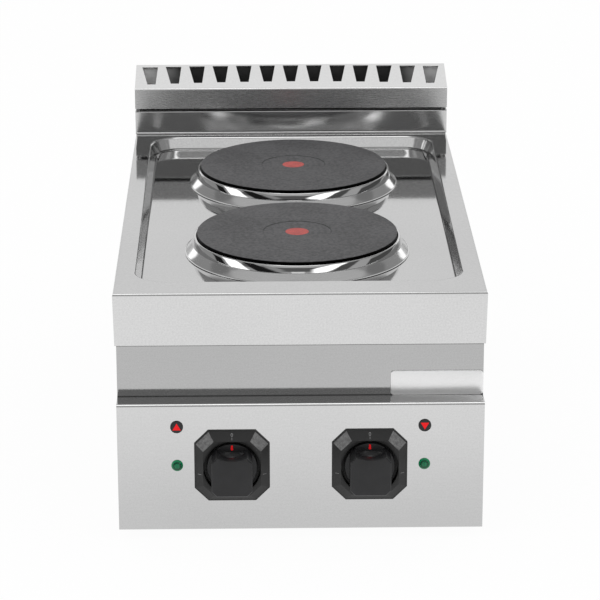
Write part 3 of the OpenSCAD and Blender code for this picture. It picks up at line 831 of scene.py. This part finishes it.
class Finishes:
    """The object's finishes, by what they are on."""

    BEZEL = BezelBlack("bezel_moulding")
    TOP = PressedTop("pressed_top")
    # Painted shade: above 252 mm the riser's lower wall is darkened almost to black, the shade
    # of the gap under the cap.
    FASCIA = SheetSteel(
        "riser_sheet", shade_of=0.62, rough=0.15, fades=((251.75, 252.0, 1.0, 0.02),)
    )
    CAP = CapSteel("cap_sheet")
    # Painted shade: the recess sheet is darkened in a thin line just under the fascia's lower
    # edge and, below the control panel's top, along its bottom by the ledge.
    RECESS = SheetSteel(
        "recess_sheet",
        shade_of=0.46,
        rough=0.10,
        fades=((177.0, 177.7, 1.0, 0.45), (130.4, 131.2, 0.35, 1.0)),
    )
    # Painted shade: the control panel's grey darkens towards the bottom, to 0.85 of it at 10 mm.
    PANEL = SheetSteel(
        "panel_sheet", shade_of=0.64, rough=0.10, fades=((10.0, 132.0, 0.85, 1.0),)
    )
    SIDE = SheetSteel("side_sheet", shade_of=0.62, rough=0.2, grain=Grain.ALONG_Y)
    BACK = SheetSteel("back_sheet", shade_of=0.58, rough=0.26, cloud=0.09)
    RING = SpunChrome("ring_chrome")
    BADGE = SheetSteel("badge_satin", shade_of=0.86, rough=0.3, cloud=0.03)
    BLACK = Moulded(
        "black_moulding", red=0.016, green=0.016, blue=0.017, rough=0.36, depth=0.03
    )
    KNOB = Moulded("knob_moulding", red=0.014, green=0.014, blue=0.015, rough=0.34, depth=0.01)
    RUBBER = Moulded("foot_moulding", red=0.025, green=0.025, blue=0.026, rough=0.6, cell=900.0)
    RED = Paint("red_paint", red=0.95, green=0.012, blue=0.016, mottle=0.08, gloss=0.2)
    SPOT = Paint("red_spot", red=0.50, green=0.085, blue=0.075, mottle=0.22, rough=0.6)
    PRINT = Paint("dial_print", red=0.2, green=0.2, blue=0.2, mottle=0.25, gloss=0.3)
    LENS = LampGreen("lamp_green")
    ZINC = Coated("zinc_plate", 0.62, 0.63, 0.62, metal=1.0, rough=0.32)
    BRASS = Coated("turned_brass", 0.70, 0.52, 0.24, metal=1.0, rough=0.25)
    CERAMIC = Coated("fired_ceramic", 0.74, 0.69, 0.58, rough=0.7, depth=0.03)
    GASKET = Coated("graphite_seal", 0.06, 0.06, 0.06, rough=0.85, depth=0.05)
    COIL = Coated("resistance_wire", 0.30, 0.24, 0.20, metal=1.0, rough=0.5)
    PHENOLIC = Coated("brown_phenolic", 0.10, 0.055, 0.03, rough=0.35)
    IVORY = Coated("ivory_moulding", 0.72, 0.66, 0.52, rough=0.45)
    SLEEVE = Coated("braided_sleeve", 0.68, 0.66, 0.60, rough=0.8, cloud=500.0, depth=0.05)


# ---------------------------------------------------------------------------
# Making pieces
# ---------------------------------------------------------------------------


class Form:
    """A mesh in the making, in millimetres from the frame's origin."""

    def __init__(self, name: str) -> None:
        """Start empty.

        Args:
            name: Name of the piece.
        """
        self.name = name
        self.mesh = bmesh.new()

    @classmethod
    def of_node(
        cls,
        name: str,
        node: str,
        join: float = 0.6,
        keep: Callable[[bmesh.types.BMEdge], bool] | None = None,
    ) -> "Form":
        """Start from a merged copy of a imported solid.

        Args:
            name: Name of the piece.
            node: Node whose solid is copied.
            join: Angle, in degrees, below which neighbouring faces are joined.
            keep: Test for edges that stay although the faces beside them are flat.

        Returns:
            The form, with flat faces joined again.
        """
        form = cls(name)
        mesh = form.mesh
        source = bpy.data.objects[node].data
        verts = [mesh.verts.new(vert.co / MM) for vert in source.vertices]
        for polygon in source.polygons:
            mesh.faces.new([verts[i] for i in polygon.vertices])
        bmesh.ops.remove_doubles(mesh, verts=mesh.verts[:], dist=0.002)
        mesh.normal_update()
        edges = [edge for edge in mesh.edges if keep is None or not keep(edge)]
        bmesh.ops.dissolve_limit(
            mesh, angle_limit=math.radians(join), verts=mesh.verts[:], edges=edges
        )
        return form

    def wire(self, outline: Outline, centre: Point, closed: bool) -> list[bmesh.types.BMVert]:
        """Add an outline of radius and height, in the plane through an upright axis.

        Args:
            outline: Radii and heights.
            centre: Point on the axis; heights count from it.
            closed: Whether the last point joins the first.

        Returns:
            The new vertices.
        """
        x, y, up = centre
        verts = [self.mesh.verts.new((x + r, y, up + z)) for r, z in outline]
        for first, second in zip(verts, verts[1:] + (verts[:1] if closed else [])):
            self.mesh.edges.new((first, second))
        return verts

    def round_off(
        self, corners: Iterable[tuple[bmesh.types.BMVert, float]], segments: int
    ) -> None:
        """Round some corners of a wire outline.

        Args:
            corners: Vertices with the length cut from each side of them.
            segments: Steps of each round.
        """
        for vert, length in corners:
            self.bevel([vert], length, segments, "VERTICES")

    def bevel(self, geom: Sequence[Any], offset: float, segments: int, affect: str) -> None:
        """Bevel vertices or edges.

        Args:
            geom: The vertices or the edges.
            offset: Length cut from each side.
            segments: Steps across the bevel.
            affect: "VERTICES" or "EDGES".
        """
        bmesh.ops.bevel(
            self.mesh,
            geom=geom,
            offset=offset,
            offset_type="OFFSET",
            segments=segments,
            profile=0.5,
            affect=affect,
            material=-1,
            clamp_overlap=True,
        )

    def spin(self, centre: Point, steps: int) -> None:
        """Turn everything made so far into a round about an upright axis.

        Args:
            centre: Point on the axis.
            steps: Steps of a full turn.
        """
        mesh = self.mesh
        bmesh.ops.spin(
            mesh,
            geom=mesh.verts[:] + mesh.edges[:],
            cent=centre,
            axis=(0.0, 0.0, 1.0),
            dvec=(0.0, 0.0, 0.0),
            angle=math.tau,
            steps=steps,
            use_merge=True,
            use_normal_flip=False,
            use_duplicate=False,
        )
        bmesh.ops.remove_doubles(mesh, verts=mesh.verts[:], dist=0.0005)
        bmesh.ops.recalc_face_normals(mesh, faces=mesh.faces[:])

    def soften(
        self,
        width: float,
        segments: int,
        pick: Callable[[bmesh.types.BMEdge], bool] | None = None,
    ) -> None:
        """Bevel the hard edges, which are those past HARD_ANGLE.

        Args:
            width: Width cut from each side of an edge.
            segments: Steps across the bevel.
            pick: Test that an edge must pass.
        """
        hard = [
            edge
            for edge in self.mesh.edges
            if edge.is_manifold
            and edge.calc_face_angle(0.0) > HARD_ANGLE
            and (pick is None or pick(edge))
        ]
        self.bevel(hard, width, segments, "EDGES")

    def strip(
        self,
        pairs: Sequence[tuple[tuple[float, float], tuple[float, float]]],
        lie: Callable[[float, float], float],
        proud: float,
        closed: bool = False,
    ) -> None:
        """Lay a thin printed strip on a surface, sunk a little into it.

        Args:
            pairs: Left and right points along the strip, as X and Z.
            lie: Y of the surface at a point.
            proud: Height of the strip over the surface.
            closed: Whether the strip joins its own start.
        """
        mesh = self.mesh
        rows = []
        for left, right in pairs:
            out = [mesh.verts.new((x, lie(x, z) - proud, z)) for x, z in (left, right)]
            back = [mesh.verts.new((x, lie(x, z) + 0.2, z)) for x, z in (right, left)]
            rows.append(out + back)
        following = rows[1:] + (rows[:1] if closed else [])
        for first, second in zip(rows, following):
            for i in range(4):
                j = (i + 1) % 4
                mesh.faces.new((first[i], first[j], second[j], second[i]))
        if not closed:
            mesh.faces.new(rows[0])
            mesh.faces.new(rows[-1])
        bmesh.ops.recalc_face_normals(mesh, faces=mesh.faces[:])

    def keep_beyond(self, plane_y: float) -> None:
        """Cut everything behind a plane away, keep the outer shell and close the cut.

        Args:
            plane_y: Y of the plane; what lies before it is kept.
        """
        mesh = self.mesh
        bmesh.ops.bisect_plane(
            mesh,
            geom=mesh.verts[:] + mesh.edges[:] + mesh.faces[:],
            dist=0.0005,
            plane_co=(0.0, plane_y, 0.0),
            plane_no=(0.0, 1.0, 0.0),
            clear_outer=True,
            clear_inner=False,
        )
        shells: list[list[bmesh.types.BMVert]] = []
        free = set(mesh.verts)
        while free:
            shell = [free.pop()]
            for vert in shell:
                linked = {edge.other_vert(vert) for edge in vert.link_edges} & free
                free -= linked
                shell.extend(linked)
            shells.append(shell)
        shells.sort(key=len)
        loose = [vert for shell in shells[:-1] for vert in shell]
        bmesh.ops.delete(mesh, geom=loose, context="VERTS")
        rims = [edge for edge in mesh.edges if edge.is_boundary]
        bmesh.ops.holes_fill(mesh, edges=rims, sides=0)
        bmesh.ops.recalc_face_normals(mesh, faces=mesh.faces[:])

    def move(self, matrix: Matrix) -> None:
        """Move everything made so far."""
        bmesh.ops.transform(self.mesh, matrix=matrix, verts=self.mesh.verts[:])

    def piece(
        self,
        finish: Finish,
        body: str,
        slot: str,
        stands_for: Sequence[str] = (),
        sharp: float = 32.0,
        weigh: bool = False,
    ) -> bpy.types.Object:
        """Finish the mesh as a piece of the object.

        Args:
            finish: What it is made of.
            body: Body that it rides on.
            slot: Material slot of the record; not used.
            stands_for: Nodes that it replaces.
            sharp: Angle, in degrees, past which an edge isn't smoothed over.
            weigh: Whether large faces keep their own normal.

        Returns:
            The piece's object, at the origin.
        """
        bmesh.ops.scale(self.mesh, vec=(MM,) * 3, verts=self.mesh.verts[:])
        for face in self.mesh.faces:
            face.smooth = True
        data = bpy.data.meshes.new(self.name)
        self.mesh.to_mesh(data)
        self.mesh.free()
        data.set_sharp_from_angle(angle=math.radians(sharp))
        data.materials.append(finish.make())
        made = link(self.name, data)
        if weigh:
            weight = made.modifiers.new("weight", "WEIGHTED_NORMAL")
            weight.keep_sharp = True
        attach(made, body)
        if stands_for:
            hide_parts(*stands_for)
        LOG.info("%s: %d faces on %s", self.name, len(data.polygons), body)
        return made


def dress(nodes: Iterable[str], finish: Finish) -> None:
    """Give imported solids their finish.

    Args:
        nodes: Names of the nodes.
        finish: What they are made of.
    """
    for node in nodes:
        for slot in bpy.data.objects[node].material_slots:
            slot.material = finish.make()
        LOG.info("%s: %s", node, finish.name)


# ---------------------------------------------------------------------------
# Sub-assemblies
# ---------------------------------------------------------------------------


@dataclass
class HotPlate:
    """One iron plate with its overflow ring and red spot.

    Attributes:
        side: Which plate it is, "front" or "rear".
        from_fascia: Y of its middle behind the fascia.
        iron_r: Radius of the iron.
        iron_up: Height of the iron's face above the worktop.
        dish_r: Radius of the shallow dish.
        dish_deep: Depth of the dish.
        spot_r: Radius of the red spot.
        well: Depth of the well's floor below the worktop.
    """

    side: str
    from_fascia: float
    iron_r: float = 93.4
    iron_up: float = 6.6
    dish_r: float = 31.5
    dish_deep: float = 0.5
    spot_r: float = 10.9
    well: float = 12.0

    @property
    def centre(self) -> Point:
        """Middle of the plate at the worktop's height."""
        return (0.0, FASCIA_Y + self.from_fascia, TOP_Z)

    def build(self) -> None:
        """Build the ring, the iron and the spot, and dress the parts below them."""
        self.ring()
        self.iron()
        self.spot()
        dress([f"{self.side}_plate_gasket"], Finishes.GASKET)
        dress([f"{self.side}_ceramic_filling", f"{self.side}_terminal_block"], Finishes.CERAMIC)
        dress([f"{self.side}_heating_coil"], Finishes.COIL)
        dress([f"{self.side}_cover_pan", f"{self.side}_clamp_bar"], Finishes.ZINC)

    def ring(self) -> None:
        """Roll the overflow ring: rim, mirror band, crease, skirt and foot lip."""
        form = Form(f"{self.side}_rolled_ring")
        outline = [
            (93.75, 0.9), (93.75, 3.75), (95.85, 3.75), (96.96, 0.5),
            (97.95, -3.1), (97.75, -3.45), (103.7, -11.0), (104.8, -11.3),
            (104.8, -11.75), (103.1, -11.75), (97.0, -3.9), (95.0, 2.6),
            (94.5, 2.6), (94.5, 0.9),
        ]
        verts = form.wire(outline, self.centre, closed=True)
        rounds = {1: 0.7, 2: 0.7, 3: 1.2, 4: 0.22, 5: 0.2, 6: 0.45, 7: 0.2, 8: 0.15}
        form.round_off(((verts[i], length) for i, length in rounds.items()), 5)
        form.spin(self.centre, steps=180)
        node = f"{self.side}_overflow_ring"
        form.piece(Finishes.RING, "chassis", "polished_steel", [node], sharp=28.0)

    def iron(self) -> None:
        """Cast the plate with a round edge and a shallow dish."""
        form = Form(f"{self.side}_iron_plate")
        up, deep = self.iron_up, self.dish_deep
        base = 1.5 - self.well
        outline = [
            (0.0, up - deep),
            (self.dish_r, up - deep),
            (self.dish_r + 0.5, up),
            (self.iron_r, up),
            (self.iron_r, -0.2),
            (self.iron_r - 2.0, -2.2),
            (self.iron_r - 2.0, base),
            (83.5, base),
            (83.5, base - 1.5),
            (76.0, base - 1.5),
            (76.0, up - 7.0),
            (14.0, up - 7.0),
            (14.0, base - 1.5),
            (3.0, base - 1.5),
            (3.0, base + 8.0),
            (0.0, base + 8.0),
        ]
        verts = form.wire(outline, self.centre, closed=False)
        form.round_off([(verts[1], 0.35), (verts[2], 0.35), (verts[3], 0.7)], 5)
        form.spin(self.centre, steps=144)
        finish = CastIron(f"{self.side}_iron", middle_y=self.centre[1])
        form.piece(finish, "chassis", "cast_iron", [f"{self.side}_plate_casting"])

    def spot(self) -> None:
        """Lay the red spot in the dish."""
        form = Form(f"{self.side}_red_spot")
        top = self.iron_up - self.dish_deep
        made = bmesh.ops.create_circle(
            form.mesh, cap_ends=True, segments=72, radius=self.spot_r
        )
        bmesh.ops.translate(form.mesh, vec=(0.0, 0.0, 0.06), verts=made["verts"])
        edge = [e for e in form.mesh.edges if e.is_boundary]
        skirt = bmesh.ops.extrude_edge_only(form.mesh, edges=edge)["geom"]
        low = [item for item in skirt if isinstance(item, bmesh.types.BMVert)]
        bmesh.ops.translate(form.mesh, vec=(0.0, 0.0, -0.1), verts=low)
        bmesh.ops.contextual_create(
            form.mesh, geom=[item for item in skirt if isinstance(item, bmesh.types.BMEdge)]
        )
        bmesh.ops.recalc_face_normals(form.mesh, faces=form.mesh.faces[:])
        x, y, z = self.centre
        form.move(Matrix.Translation((x, y, z + top)))
        form.piece(Finishes.SPOT, "chassis", "red_marking")


@dataclass
class Body:
    """Worktop, sheets, riser and what is inside.

    Attributes:
        badge_bevel: Bevel of the blank badge's edges.
        fascia_low: Height of the fascia's lower edge above the table.
        riser_roll: Bend at the top of the riser's lower wall.
        riser_low: Height of the riser's lower wall above the table.
    """

    badge_bevel: float = 0.35
    fascia_low: float = 178.3
    riser_roll: float = 1.3
    riser_low: float = 251.7

    def build(self) -> None:
        """Dress the sheets, the inside and the rear fittings."""
        self.worktop()
        self.riser()
        dress(["riser_cap"], Finishes.CAP)
        dress(["recess_panel"], Finishes.RECESS)
        dress(["control_panel"], Finishes.PANEL)
        dress(["left_side_panel", "right_side_panel"], Finishes.SIDE)
        dress(["rear_panel", "base_tray", "heat_shield"], Finishes.BACK)
        dress(["clamp_studs", "clamp_nuts", "foot_nuts"], Finishes.ZINC)
        dress(["mains_terminal_block"], Finishes.IVORY)
        dress(["cable_gland"], Finishes.BLACK)
        dress(["bonding_stud"], Finishes.BRASS)
        dress(["wiring"], Finishes.SLEEVE)
        self.badge()

    def worktop(self) -> None:
        """Press the worktop: smooth bends, and a soft lower edge on the fascia."""
        form = Form.of_node("pressed_worktop", "worktop")
        low = self.fascia_low

        def front_low(edge: bmesh.types.BMEdge) -> bool:
            """Tell whether an edge is the fascia's outer lower edge."""
            return all(
                abs(v.co.z - low) < 0.05 and abs(v.co.y - FASCIA_Y) < 0.05 for v in edge.verts
            )

        form.soften(0.45, 3, front_low)
        form.piece(
            Finishes.TOP, "chassis", "polished_steel", ["worktop"], sharp=42.0, weigh=True
        )

    def riser(self) -> None:
        """Fold the riser's lower wall with a round bend along its top."""
        form = Form.of_node("folded_riser", "riser_lower")
        low = self.riser_low

        def top_edge(edge: bmesh.types.BMEdge) -> bool:
            """Tell whether an edge is the front top edge of the lower wall."""
            front = all(v.co.y < FASCIA_Y + 529.7 for v in edge.verts)
            return front and all(abs(v.co.z - low) < 0.05 for v in edge.verts)

        form.soften(self.riser_roll, 5, top_edge)
        form.piece(Finishes.FASCIA, "chassis", "polished_steel", ["riser_lower"], weigh=True)

    def badge(self) -> None:
        """Press the blank badge with soft edges."""
        form = Form.of_node("blank_badge", "badge_plate")
        form.soften(self.badge_bevel, 3)
        form.piece(Finishes.BADGE, "chassis", "polished_steel", ["badge_plate"])


@dataclass
class Control:
    """One switch: bezel with its dial marks, knob, pointer, lamp and marker.

    Attributes:
        side: "left" or "right".
        x: Distance of its axis from the middle, negative on the left.
        height: Height of its axis above the table.
        panel: Y of the control panel's face, from the fascia.
        bezel_out: Height of the bezel over the panel.
        skirt_r: Radius of the knob's skirt.
        skirt_out: Height of the skirt's face over the panel.
    """

    side: str
    x: float
    height: float = 72.5
    panel: float = -19.5
    bezel_out: float = 9.0
    skirt_r: float = 22.3
    skirt_out: float = 6.4

    def build(self) -> None:
        """Build what shows and dress what is behind the panel."""
        self.bezel()
        self.knob()
        dress([f"{self.side}_pointer"], Finishes.RED)
        dress([f"{self.side}_spindle"], Finishes.ZINC)
        dress([f"{self.side}_switch_housing"], Finishes.PHENOLIC)
        dress([f"{self.side}_cam_drum", f"{self.side}_lamp_body"], Finishes.IVORY)
        dress([f"{self.side}_lamp_lens"], Finishes.LENS)

    def bezel(self) -> None:
        """Mould the bezel with soft edges and print its dial marks."""
        form = Form.of_node(
            f"{self.side}_moulded_bezel",
            f"{self.side}_bezel",
            keep=lambda edge: all(abs(face.normal.y) > 0.99 for face in edge.link_faces),
        )
        form.soften(0.3, 2, self.outside_opening)
        form.piece(Finishes.BEZEL, "chassis", "black_plastic", [f"{self.side}_bezel"])
        marks = Form(f"{self.side}_dial_marks")
        for turn in range(7):
            angle = math.tau * turn / 7.0
            inner, outer = (26.6, 28.4) if turn == 0 else (28.0, 31.2)
            marks.strip(self.tick(angle, inner, outer), self.facet, 0.04)
        zero = []
        for step in range(24):
            angle = math.tau * step / 24.0
            across, up = math.sin(angle), math.cos(angle)
            zero.append(
                tuple(
                    (self.x + w * across, self.height + 30.1 + h * up)
                    for w, h in ((1.0, 1.2), (0.6, 0.8))
                )
            )
        marks.strip(zero, self.facet, 0.04, closed=True)
        marks.piece(Finishes.PRINT, "chassis", "black_plastic")

    def outside_opening(self, edge: bmesh.types.BMEdge) -> bool:
        """Tell whether an edge of the bezel lies clear of the knob's opening."""
        return all(
            math.hypot(v.co.x - self.x, v.co.z - self.height) > self.skirt_r + 2.0
            for v in edge.verts
        )

    def tick(self, angle: float, inner: float, outer: float) -> list[Any]:
        """Give the two ends of a radial tick.

        Args:
            angle: Clockwise from the top, in radians.
            inner: Radius at which it starts.
            outer: Radius at which it ends.

        Returns:
            Its pairs of points.
        """
        c, s = math.cos(angle), math.sin(angle)
        ends = []
        for radius in (inner, outer):
            x, z = self.x + radius * s, self.height + radius * c
            ends.append(((x - 0.22 * c, z + 0.22 * s), (x + 0.22 * c, z - 0.22 * s)))
        return ends

    def facet(self, x: float, z: float) -> float:
        """Give the Y of the bezel's sloping face at a point.

        Args:
            x: Distance from the middle of the cooker.
            z: Height above the table.

        Returns:
            The Y of the surface.
        """
        across, up = abs(x - self.x), abs(z - self.height)
        straight = (max(across, up) - 25.55) / 6.75
        slanting = ((across + up) / math.sqrt(2.0) - 29.35) / 8.0
        rise = self.bezel_out - 7.6 * max(straight, slanting, 0.0)
        return FASCIA_Y + self.panel - rise

    def knob(self) -> None:
        """Mould the knob: a round skirt and a grip with soft edges."""
        body = f"{self.side}_knob_set"
        grip = Form.of_node(f"{self.side}_moulded_grip", f"{self.side}_knob")
        face = FASCIA_Y + self.panel - self.skirt_out
        grip.keep_beyond(face - 0.05)
        foot = [vert for vert in grip.mesh.verts if vert.co.y > face - 0.06]
        bmesh.ops.translate(grip.mesh, vec=(0.0, 0.5, 0.0), verts=foot)
        grip.soften(0.3, 3, lambda edge: min(vert.co.y for vert in edge.verts) < face - 0.2)
        grip.piece(Finishes.KNOB, body, "black_plastic", [f"{self.side}_knob"])
        skirt = Form(f"{self.side}_knob_skirt")
        out, r = self.skirt_out, self.skirt_r
        outline = [(0.0, out), (r, out), (r, -0.3), (r - 1.5, -0.3), (r - 1.5, 0.4), (0.0, 0.4)]
        verts = skirt.wire(outline, (0.0, 0.0, 0.0), closed=False)
        skirt.round_off([(verts[1], 0.7)], 4)
        skirt.spin((0.0, 0.0, 0.0), steps=96)
        middle = Vector((self.x, FASCIA_Y + self.panel, self.height))
        skirt.move(Matrix.Translation(middle) @ Matrix.Rotation(math.pi / 2.0, 4, "X"))
        skirt.piece(Finishes.KNOB, body, "black_plastic")


@dataclass
class Feet:
    """The four adjustable feet.

    Attributes:
        corners: Names of the four corners.
    """

    corners: tuple[str, ...] = ("front_left", "front_right", "rear_left", "rear_right")

    def build(self) -> None:
        """Dress the pads and the studs."""
        for corner in self.corners:
            dress([f"{corner}_foot_pad"], Finishes.RUBBER)
            dress([f"{corner}_foot_stud"], Finishes.ZINC)


# ---------------------------------------------------------------------------
# Studio
# ---------------------------------------------------------------------------


@dataclass
class Studio:
    """Floor, world, lamps and camera.

    Attributes:
        eye: Place of the camera, in metres.
        yaw: Turn of the camera to the right, in radians.
        pitch: Tilt of the camera downwards, in radians.
        roll: Roll of the camera, in radians.
        lens: Focal length for a sensor 36 mm wide.
        floor_r: Radius of the floor, in metres.
    """

    eye: Point = (-0.03985, -2.52662, 0.98588)
    yaw: float = 0.0176
    pitch: float = 0.3279
    roll: float = -0.0013
    lens: float = 162.636
    floor_r: float = 5.0

    def build(self) -> None:
        """Set everything round the object."""
        self.camera()
        self.world()
        self.floor()
        self.lamps()

    def camera(self) -> None:
        """Stand the camera where the view is taken from."""
        data = bpy.data.cameras.new("view_camera")
        data.lens = self.lens
        data.sensor_width = 36.0
        data.clip_start, data.clip_end = 0.05, 60.0
        made = link("view_camera", data)
        ahead = Vector(
            (
                math.sin(self.yaw) * math.cos(self.pitch),
                math.cos(self.yaw) * math.cos(self.pitch),
                -math.sin(self.pitch),
            )
        )
        right = Vector((math.cos(self.yaw), -math.sin(self.yaw), 0.0))
        up = right.cross(ahead)
        c, s = math.cos(self.roll), math.sin(self.roll)
        right, up = c * right + s * up, c * up - s * right
        turn = Matrix((right, up, -ahead)).transposed().to_4x4()
        made.matrix_world = Matrix.Translation(self.eye) @ turn
        bpy.context.scene.camera = made

    def world(self) -> None:
        """White for the eye, a plain level for matt surfaces, a lit room for metal."""
        world = bpy.data.worlds.new("studio")
        bpy.context.scene.world = world
        world.use_nodes = True
        graph = Graph(world.node_tree)
        path = graph.add("LightPath")
        eye = Num(graph, path.outputs["Is Camera Ray"])
        metal = Num(graph, path.outputs["Is Glossy Ray"])
        room = self.room(graph)
        level = 0.8 * (1.0 - metal + room * metal) * (1.0 - eye) + eye
        background = graph.add("Background", {}, {"Color": rgb(1.0), "Strength": level})
        graph.add("OutputWorld", {}, {"Surface": background.outputs[0]})
        world.cycles.sampling_method = "NONE"

    @staticmethod
    def room(graph: Graph) -> Num:
        """Give the level of the room that metal mirrors, card by card.

        Args:
            graph: The world's node tree.

        Returns:
            The level in the direction that is looked along.
        """
        x, y, z = graph.split(graph.add("TexCoord").outputs["Generated"])
        flat = graph.math("SQRT", x * x + y * y + 1e-6)
        side, front = x / flat, -1.0 * y / flat
        wide, near = abs(x), -1.0 * y
        rim = z + 0.07 * wide
        over = graph.math("ARCTAN2", z, near) * (180.0 / math.pi)
        strip = wide.rise(0.34, 0.18)
        left, right = side.rise(-0.2, -0.35), side.rise(0.2, 0.35)
        lean = front + 1.2 * (z - 0.25)
        cards = [
            (near.rise(0.05, 0.30) * rim.rise(0.362, 0.340), 0.13),
            (near.rise(0.05, 0.30) * z.rise(0.20, 0.16), 0.45),
            (near.rise(0.05, 0.30) * z.rise(0.20, 0.16) * wide.rise(0.14, 0.10), 1.0),
            (near.rise(0.25, 0.45) * rim.band(0.362, 0.52, 0.02), 0.56),
            (near.rise(0.30, 0.40) * wide.rise(0.74, 0.62) * z.band(0.50, 0.595, 0.015), 0.95),
            (near.rise(-0.05, 0.08) * z.band(0.64, 0.85, 0.03), 0.60),
            (strip * over.band(68.0, 95.0, 1.5), 2.5),
            (wide.rise(0.40, 0.30) * over.band(97.0, 121.0, 2.0), 0.38),
            (wide.rise(0.40, 0.30) * over.band(124.0, 143.0, 2.0), 1.0),
            (front.rise(-0.84, -0.91) * over.band(143.0, 186.0, 2.0), 1.0),
            (
                wide.rise(0.70, 0.78) * front.band(-0.35, 0.0, 0.05) * z.band(0.45, 0.62, 0.04),
                0.24,
            ),
            (
                wide.rise(0.42, 0.50)
                * front.band(-0.86, -0.74, 0.03)
                * z.band(0.05, 0.20, 0.03),
                1.8,
            ),
            (left * lean.band(-0.36, -0.16, 0.06) * z.band(-0.02, 0.17, 0.03), 0.015),
            (left * lean.band(0.00, 0.36, 0.07) * z.band(0.03, 0.34, 0.03), 2.2),
            (left * lean.band(0.56, 0.78, 0.06) * z.band(0.08, 0.40, 0.03), 0.015),
            (left * lean.band(0.86, 0.96, 0.03) * z.band(0.12, 0.40, 0.03), 0.35),
            (right * lean.band(0.72, 0.96, 0.05) * z.band(0.12, 0.40, 0.03), 2.2),
            (right * lean.band(0.42, 0.62, 0.06) * z.band(0.10, 0.36, 0.03), 0.10),
            (right * lean.band(0.02, 0.32, 0.08) * z.band(0.04, 0.30, 0.03), 0.50),
            (right * lean.band(-0.85, -0.06, 0.04) * z.band(-0.20, 0.15, 0.03), 0.09),
        ]
        room: Num = 0.36 + 0.0 * z
        for share, level in cards:
            room = room * (1.0 - share) + level * share
        return room

    def floor(self) -> None:
        """Lay the pale floor, which keeps the object's shadow."""
        mesh = bmesh.new()
        bmesh.ops.create_circle(mesh, cap_ends=True, segments=96, radius=self.floor_r)
        data = bpy.data.meshes.new("studio_floor")
        mesh.to_mesh(data)
        mesh.free()
        material = bpy.data.materials.new("studio_floor")
        material.use_nodes = True
        graph = Graph(material.node_tree)
        path = graph.add("LightPath")
        seen = graph.math(
            "MAXIMUM",
            Num(graph, path.outputs["Is Camera Ray"]),
            Num(graph, path.outputs["Is Glossy Ray"]),
        )
        matt = graph.add("BsdfDiffuse", {}, {"Color": rgb(1.0)})
        glow = graph.add("Emission", {}, {"Color": rgb(1.0), "Strength": 1.0})
        sockets = {0: 0.95 * seen, 1: matt.outputs[0], 2: glow.outputs[0]}
        mixed = graph.add("MixShader", {}, sockets)
        graph.add("OutputMaterial", {}, {"Surface": mixed.outputs[0]})
        data.materials.append(material)
        link("studio_floor", data)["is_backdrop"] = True

    def lamps(self) -> None:
        """Hang two broad soft lamps."""
        self._lamp("key_lamp", (-1.6, -1.9, 2.4), 1.8, 12.0)
        self._lamp("fill_lamp", (2.0, -1.2, 2.2), 1.8, 8.0)

    @staticmethod
    def _lamp(name: str, place: Point, size: float, power: float) -> None:
        """Hang one lamp that looks at the object.

        Args:
            name: Name of the lamp.
            place: Where it hangs, in metres.
            size: Width of its square face, in metres.
            power: Power in watts.
        """
        data = bpy.data.lights.new(name, "AREA")
        data.shape = "SQUARE"
        data.size = size
        data.energy = power
        made = link(name, data)
        made.location = place
        aim = Vector((0.0, 0.0, 0.15)) - Vector(place)
        made.rotation_euler = aim.to_track_quat("-Z", "Y").to_euler()
        made.visible_glossy = False


@dataclass
class Cooker:
    """The whole object.

    Attributes:
        plates: The two hot plates.
        body: Sheets and what is inside.
        controls: The two switches.
        feet: The four feet.
    """

    plates: list[HotPlate] = field(
        default_factory=lambda: [HotPlate("front", 160.7), HotPlate("rear", 388.3)]
    )
    body: Body = field(default_factory=Body)
    controls: list[Control] = field(
        default_factory=lambda: [Control("left", -61.0), Control("right", 61.0)]
    )
    feet: Feet = field(default_factory=Feet)

    def build(self) -> None:
        """Build every sub-assembly in order."""
        self.body.build()
        for plate in self.plates:
            plate.build()
        for control in self.controls:
            control.build()
        dress(["marker_plugs"], Finishes.BLACK)
        dress(["marker_triangles"], Finishes.RED)
        self.feet.build()


def corners(box: tuple[Vector, Vector]) -> list[list[float]]:
    """Give a box's two corners as plain numbers."""
    return [[float(c) for c in corner] for corner in box]


def main() -> None:
    """Load the frame, dress the object and set the studio."""
    logging.basicConfig(level=logging.INFO, format="%(name)s: %(message)s")
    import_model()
    packed = corners(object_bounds())
    bpy.context.scene.view_settings.view_transform = "Standard"
    Cooker().build()
    Studio().build()
    {"cad": packed, "visual": corners(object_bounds())}


if __name__ == "__main__":
    main()
